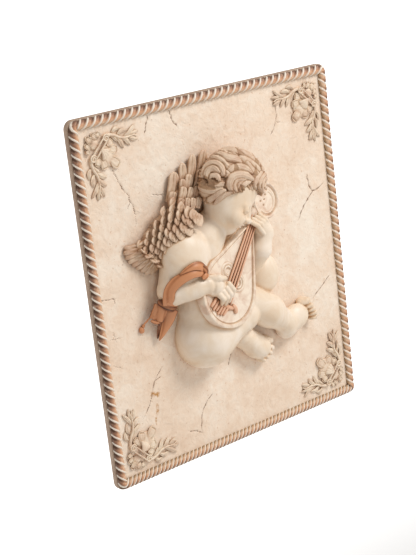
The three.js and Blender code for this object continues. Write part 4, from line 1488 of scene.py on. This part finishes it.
def make_panel(material):
    bm = bmesh.new()
    cell = 1.7
    bmesh.ops.create_grid(bm, x_segments=round(WIDTH / cell), y_segments=round(HEIGHT / cell), size=1)
    bmesh.ops.scale(bm, vec=(WIDTH / 2 - 0.25, HEIGHT / 2 - 0.25, 1), verts=bm.verts)
    lines = [crack_line(route, seed) for seed, (route, _) in enumerate(CRACKS)]
    every = np.concatenate(lines)[:, :2]
    def crack_distance(points):
        near = np.full(len(points), 1e9)
        for spot in every:
            near = np.minimum(near, ((points[:, :2] - spot) ** 2).sum(1))
        return np.sqrt(near)
    centres = np.array([face.calc_center_median()[:] for face in bm.faces])
    close = crack_distance(centres) < cell * 0.75 + 1.2
    edges = list({edge for face, near in zip(bm.faces[:], close) if near for edge in face.edges})
    bmesh.ops.subdivide_edges(bm, edges=edges, cuts=3, use_grid_fill=True)
    points = spots(bm.verts)
    corner = np.array([WIDTH / 2 - 0.25 - CORNER_RADIUS, HEIGHT / 2 - 0.25 - CORNER_RADIUS])
    past = np.abs(points[:, :2]) - corner
    in_corner = (past > 0).all(1)
    far = np.hypot(*np.maximum(past, 0).T)
    box = np.maximum(past.max(1), 1e-6)
    pull = np.where(in_corner, box / np.maximum(far, 1e-6), 1.0)
    points[:, :2] = np.where(
        in_corner[:, None], np.sign(points[:, :2]) * (corner + past * pull[:, None]), points[:, :2]
    )
    inner = (np.abs(points[:, 0]) < WIDTH / 2 - 8) & (np.abs(points[:, 1]) < HEIGHT / 2 - 8)
    rise = np.array([
        (
            0.35 * noise.noise((x / 34, y / 34, 1.0)) + 0.22 * noise.noise((x / 11, y / 13, 4.0))
            + 0.1 * noise.noise((x / 4, y / 4, 9.0))
        )
        for x, y in points[:, :2]
    ])
    crack = np.zeros(len(points))
    for line, (_, strength) in zip(lines, CRACKS):
        near = np.full(len(points), 1e9)
        at = np.zeros(len(points))
        for j, spot in enumerate(line):
            distance = ((points[:, :2] - spot[:2]) ** 2).sum(1)
            closer = distance < near
            near = np.where(closer, distance, near)
            at = np.where(closer, j / 39, at)
        width = 0.58 * strength + 0.12 * np.sin(at * 19 + strength * 9) + 0.2
        fade = (
            np.clip((1 - at) * 5, 0.35, 1) * strength ** 0.35
            * (0.82 + 0.18 * np.sin(at * 31 + strength * 5))
        )
        crack = np.maximum(crack, fade * np.exp(-near / width**2))
    for x, y in PITS:
        near = (points[:, 0] - x) ** 2 + (points[:, 1] - y) ** 2
        crack = np.maximum(crack, 0.6 * np.exp(-near / 1.0**2))
    stain = np.zeros(len(points))
    for (x, y), rx, ry in STAINS:
        stain = np.maximum(stain, np.exp(-(((points[:, 0] - x) / rx) ** 2 + ((points[:, 1] - y) / ry) ** 2)))
    points[:, 2] = np.where(inner, rise - 0.9 * crack, -0.2)
    move_to(bm.verts, points)
    rim = [edge for edge in bm.edges if edge.is_boundary]
    for drop, spread in ((-0.8, 0.25), (-4.2, 0.0), (-0.8, -0.5)):
        grown = bmesh.ops.extrude_edge_only(bm, edges=rim)
        verts = [v for v in grown["geom"] if isinstance(v, bmesh.types.BMVert)]
        rim = [e for e in grown["geom"] if isinstance(e, bmesh.types.BMEdge) and e.is_boundary]
        bmesh.ops.translate(bm, vec=(0, 0, drop), verts=verts)
        for vert in verts:
            flat = Vector((vert.co.x, vert.co.y, 0))
            vert.co += flat.normalized() * spread
    for vert in verts:
        vert.co.z = -GROUND
    bmesh.ops.holes_fill(bm, edges=rim, sides=0)
    extra = len(bm.verts) - len(points)
    marks = {
        "crack": np.concatenate([np.where(inner, crack, 0), np.zeros(extra)]),
        "stain": np.concatenate([stain, np.zeros(extra)]),
        "edge": np.concatenate([np.where(inner, 0, 1), np.ones(extra)]),
    }
    return finish_piece("panel", bm, material, marks)


# Antique wash and painted shade

def rub_wash_and_shade(objects):
    """Brown wash and painted shade lie where a fingertip can't reach: each point's share of near directions
    that meet the casting becomes its wash-and-shade mark."""
    corners, faces = [], []
    for piece in objects:
        start = len(corners)
        corners += [v.co[:] for v in piece.data.vertices]
        faces += [[start + i for i in p.vertices] for p in piece.data.polygons if len(p.vertices) < 9]
    tree = BVHTree.FromPolygons(corners, faces)
    rays = 12
    fan = []
    for i in range(rays):
        high = 0.25 + 0.75 * (i + 0.5) / rays
        turn = i * 2.39996
        flat = math.sqrt(1 - high * high)
        fan.append(Vector((flat * math.cos(turn), flat * math.sin(turn), high)))
    for piece in objects:
        mesh = piece.data
        near = 0.009 if piece.name in ("panel", "cherub_body") else 0.006
        values = []
        for vert in mesh.vertices:
            if vert.co.y > -0.0045:
                values.append(0.4)
                continue
            turn = vert.normal.to_track_quat("Z", "Y")
            start = vert.co + vert.normal * 0.00025
            met = 0.0
            for ray in fan:
                hit = tree.ray_cast(start, turn @ ray, near)
                if hit[0] is not None:
                    met += 1 - hit[3] / near * 0.7
            values.append(met / rays)
        values = np.array(values)
        edges = np.empty(len(mesh.edges) * 2, dtype=np.int32)
        mesh.edges.foreach_get("vertices", edges)
        a, b = edges.reshape(-1, 2).T
        count = np.bincount(a, minlength=len(values)) + np.bincount(b, minlength=len(values))
        for _ in range(2):
            total = np.bincount(a, values[b], len(values)) + np.bincount(b, values[a], len(values))
            values = 0.5 * values + 0.5 * total / np.maximum(count, 1)
        if "cut" in mesh.attributes:
            cut = np.empty(len(values), dtype=np.float32)
            mesh.attributes["cut"].data.foreach_get("value", cut)
            values = 1 - (1 - np.clip(values, 0, 1)) * (1 - 0.85 * np.clip(cut, 0, 1))
        mesh.attributes.new("wash_and_shade", "FLOAT", "POINT").data.foreach_set("value", values.astype(np.float32))


# Studio

# The photo's viewpoint: degrees round, up and tilted, then the point aimed at and the distance in mm
CAMERA_TURN = -38.254
CAMERA_RISE = 15.239
CAMERA_ROLL = -6.810
CAMERA_AIM = (-15.803, 0, -3.893)
CAMERA_DISTANCE = 1291.32
CAMERA_LENS = 91.17


def place_camera():
    turn, tip, roll = (math.radians(angle) for angle in (CAMERA_TURN, CAMERA_RISE, CAMERA_ROLL))
    back = Vector((math.sin(turn) * math.cos(tip), -math.cos(turn) * math.cos(tip), math.sin(tip)))
    spot = (Vector(CAMERA_AIM) + back * CAMERA_DISTANCE) / 1000
    right = (-back).cross(Vector((0, 0, 1))).normalized()
    up = right.cross(-back)
    side = right * math.cos(roll) + up * math.sin(roll)
    top = up * math.cos(roll) - right * math.sin(roll)
    data = bpy.data.cameras.new("photo_view")
    data.lens = CAMERA_LENS
    data.sensor_width = 36
    data.clip_start = 0.05
    data.clip_end = 60
    camera = bpy.data.objects.new("photo_view", data)
    camera.matrix_world = Matrix((
        (side.x, top.x, back.x, spot.x),
        (side.y, top.y, back.y, spot.y),
        (side.z, top.z, back.z, spot.z),
        (0, 0, 0, 1),
    ))
    bpy.context.scene.collection.objects.link(camera)
    bpy.context.scene.camera = camera


def soft_light(name, spot, power, size):
    data = bpy.data.lights.new(name, "AREA")
    data.shape = "DISK"
    data.size = size
    data.energy = power
    light = bpy.data.objects.new(name, data)
    light.matrix_world = (
        Matrix.Translation(spot) @ (-Vector(spot)).to_track_quat("-Z", "Y").to_matrix().to_4x4()
    )
    bpy.context.scene.collection.objects.link(light)


def make_studio():
    bm = bmesh.new()
    bmesh.ops.create_grid(bm, x_segments=2, y_segments=2, size=12)
    bmesh.ops.translate(bm, vec=(0, 0, -0.5), verts=bm.verts)
    mesh = bpy.data.meshes.new("floor")
    bm.to_mesh(mesh)
    bm.free()
    mesh.materials.append(floor_finish())
    floor = bpy.data.objects.new("floor", mesh)
    bpy.context.scene.collection.objects.link(floor)
    world = bpy.data.worlds.new("studio")
    world.use_nodes = True
    world.node_tree.nodes["Background"].inputs["Color"].default_value = (1, 0.975, 0.945, 1)
    world.node_tree.nodes["Background"].inputs["Strength"].default_value = 0.5
    bpy.context.scene.world = world
    bpy.context.scene.view_settings.view_transform = "Standard"
    soft_light("key", (0.85, -1.3, 1.45), 27, 0.8)


make_studio()
place_camera()
carved_tan = carved_finish(
    "hair_and_wing_antique", srgb(226, 200, 174), srgb(196, 160, 126), srgb(132, 94, 62), 0.2, 1.05
)
corner_tan = carved_finish(
    "corner_antique", srgb(240, 220, 196), srgb(216, 188, 154), srgb(146, 112, 76), 0.28, 1.15
)
skin = skin_finish()
copper = copper_finish("ribbon_copper", srgb(210, 144, 100), srgb(186, 118, 74), srgb(84, 46, 26))
string_copper = copper_finish("string_copper", srgb(230, 182, 150), srgb(206, 150, 114), srgb(120, 78, 52))
lute_ivory = carved_finish(
    "lute_ivory", srgb(245, 228, 208), srgb(226, 198, 168), srgb(134, 98, 62), 0.2, 0.95
)
make_child(skin)
make_hair(carved_tan)
make_raised_wing(carved_tan)
make_lowered_wing(carved_tan)
make_lute(lute_ivory)
make_strings(string_copper)
make_ribbon(copper)
make_corners(corner_tan)
make_rope(rope_finish())
make_panel(panel_finish())
rub_wash_and_shade(carved_pieces)
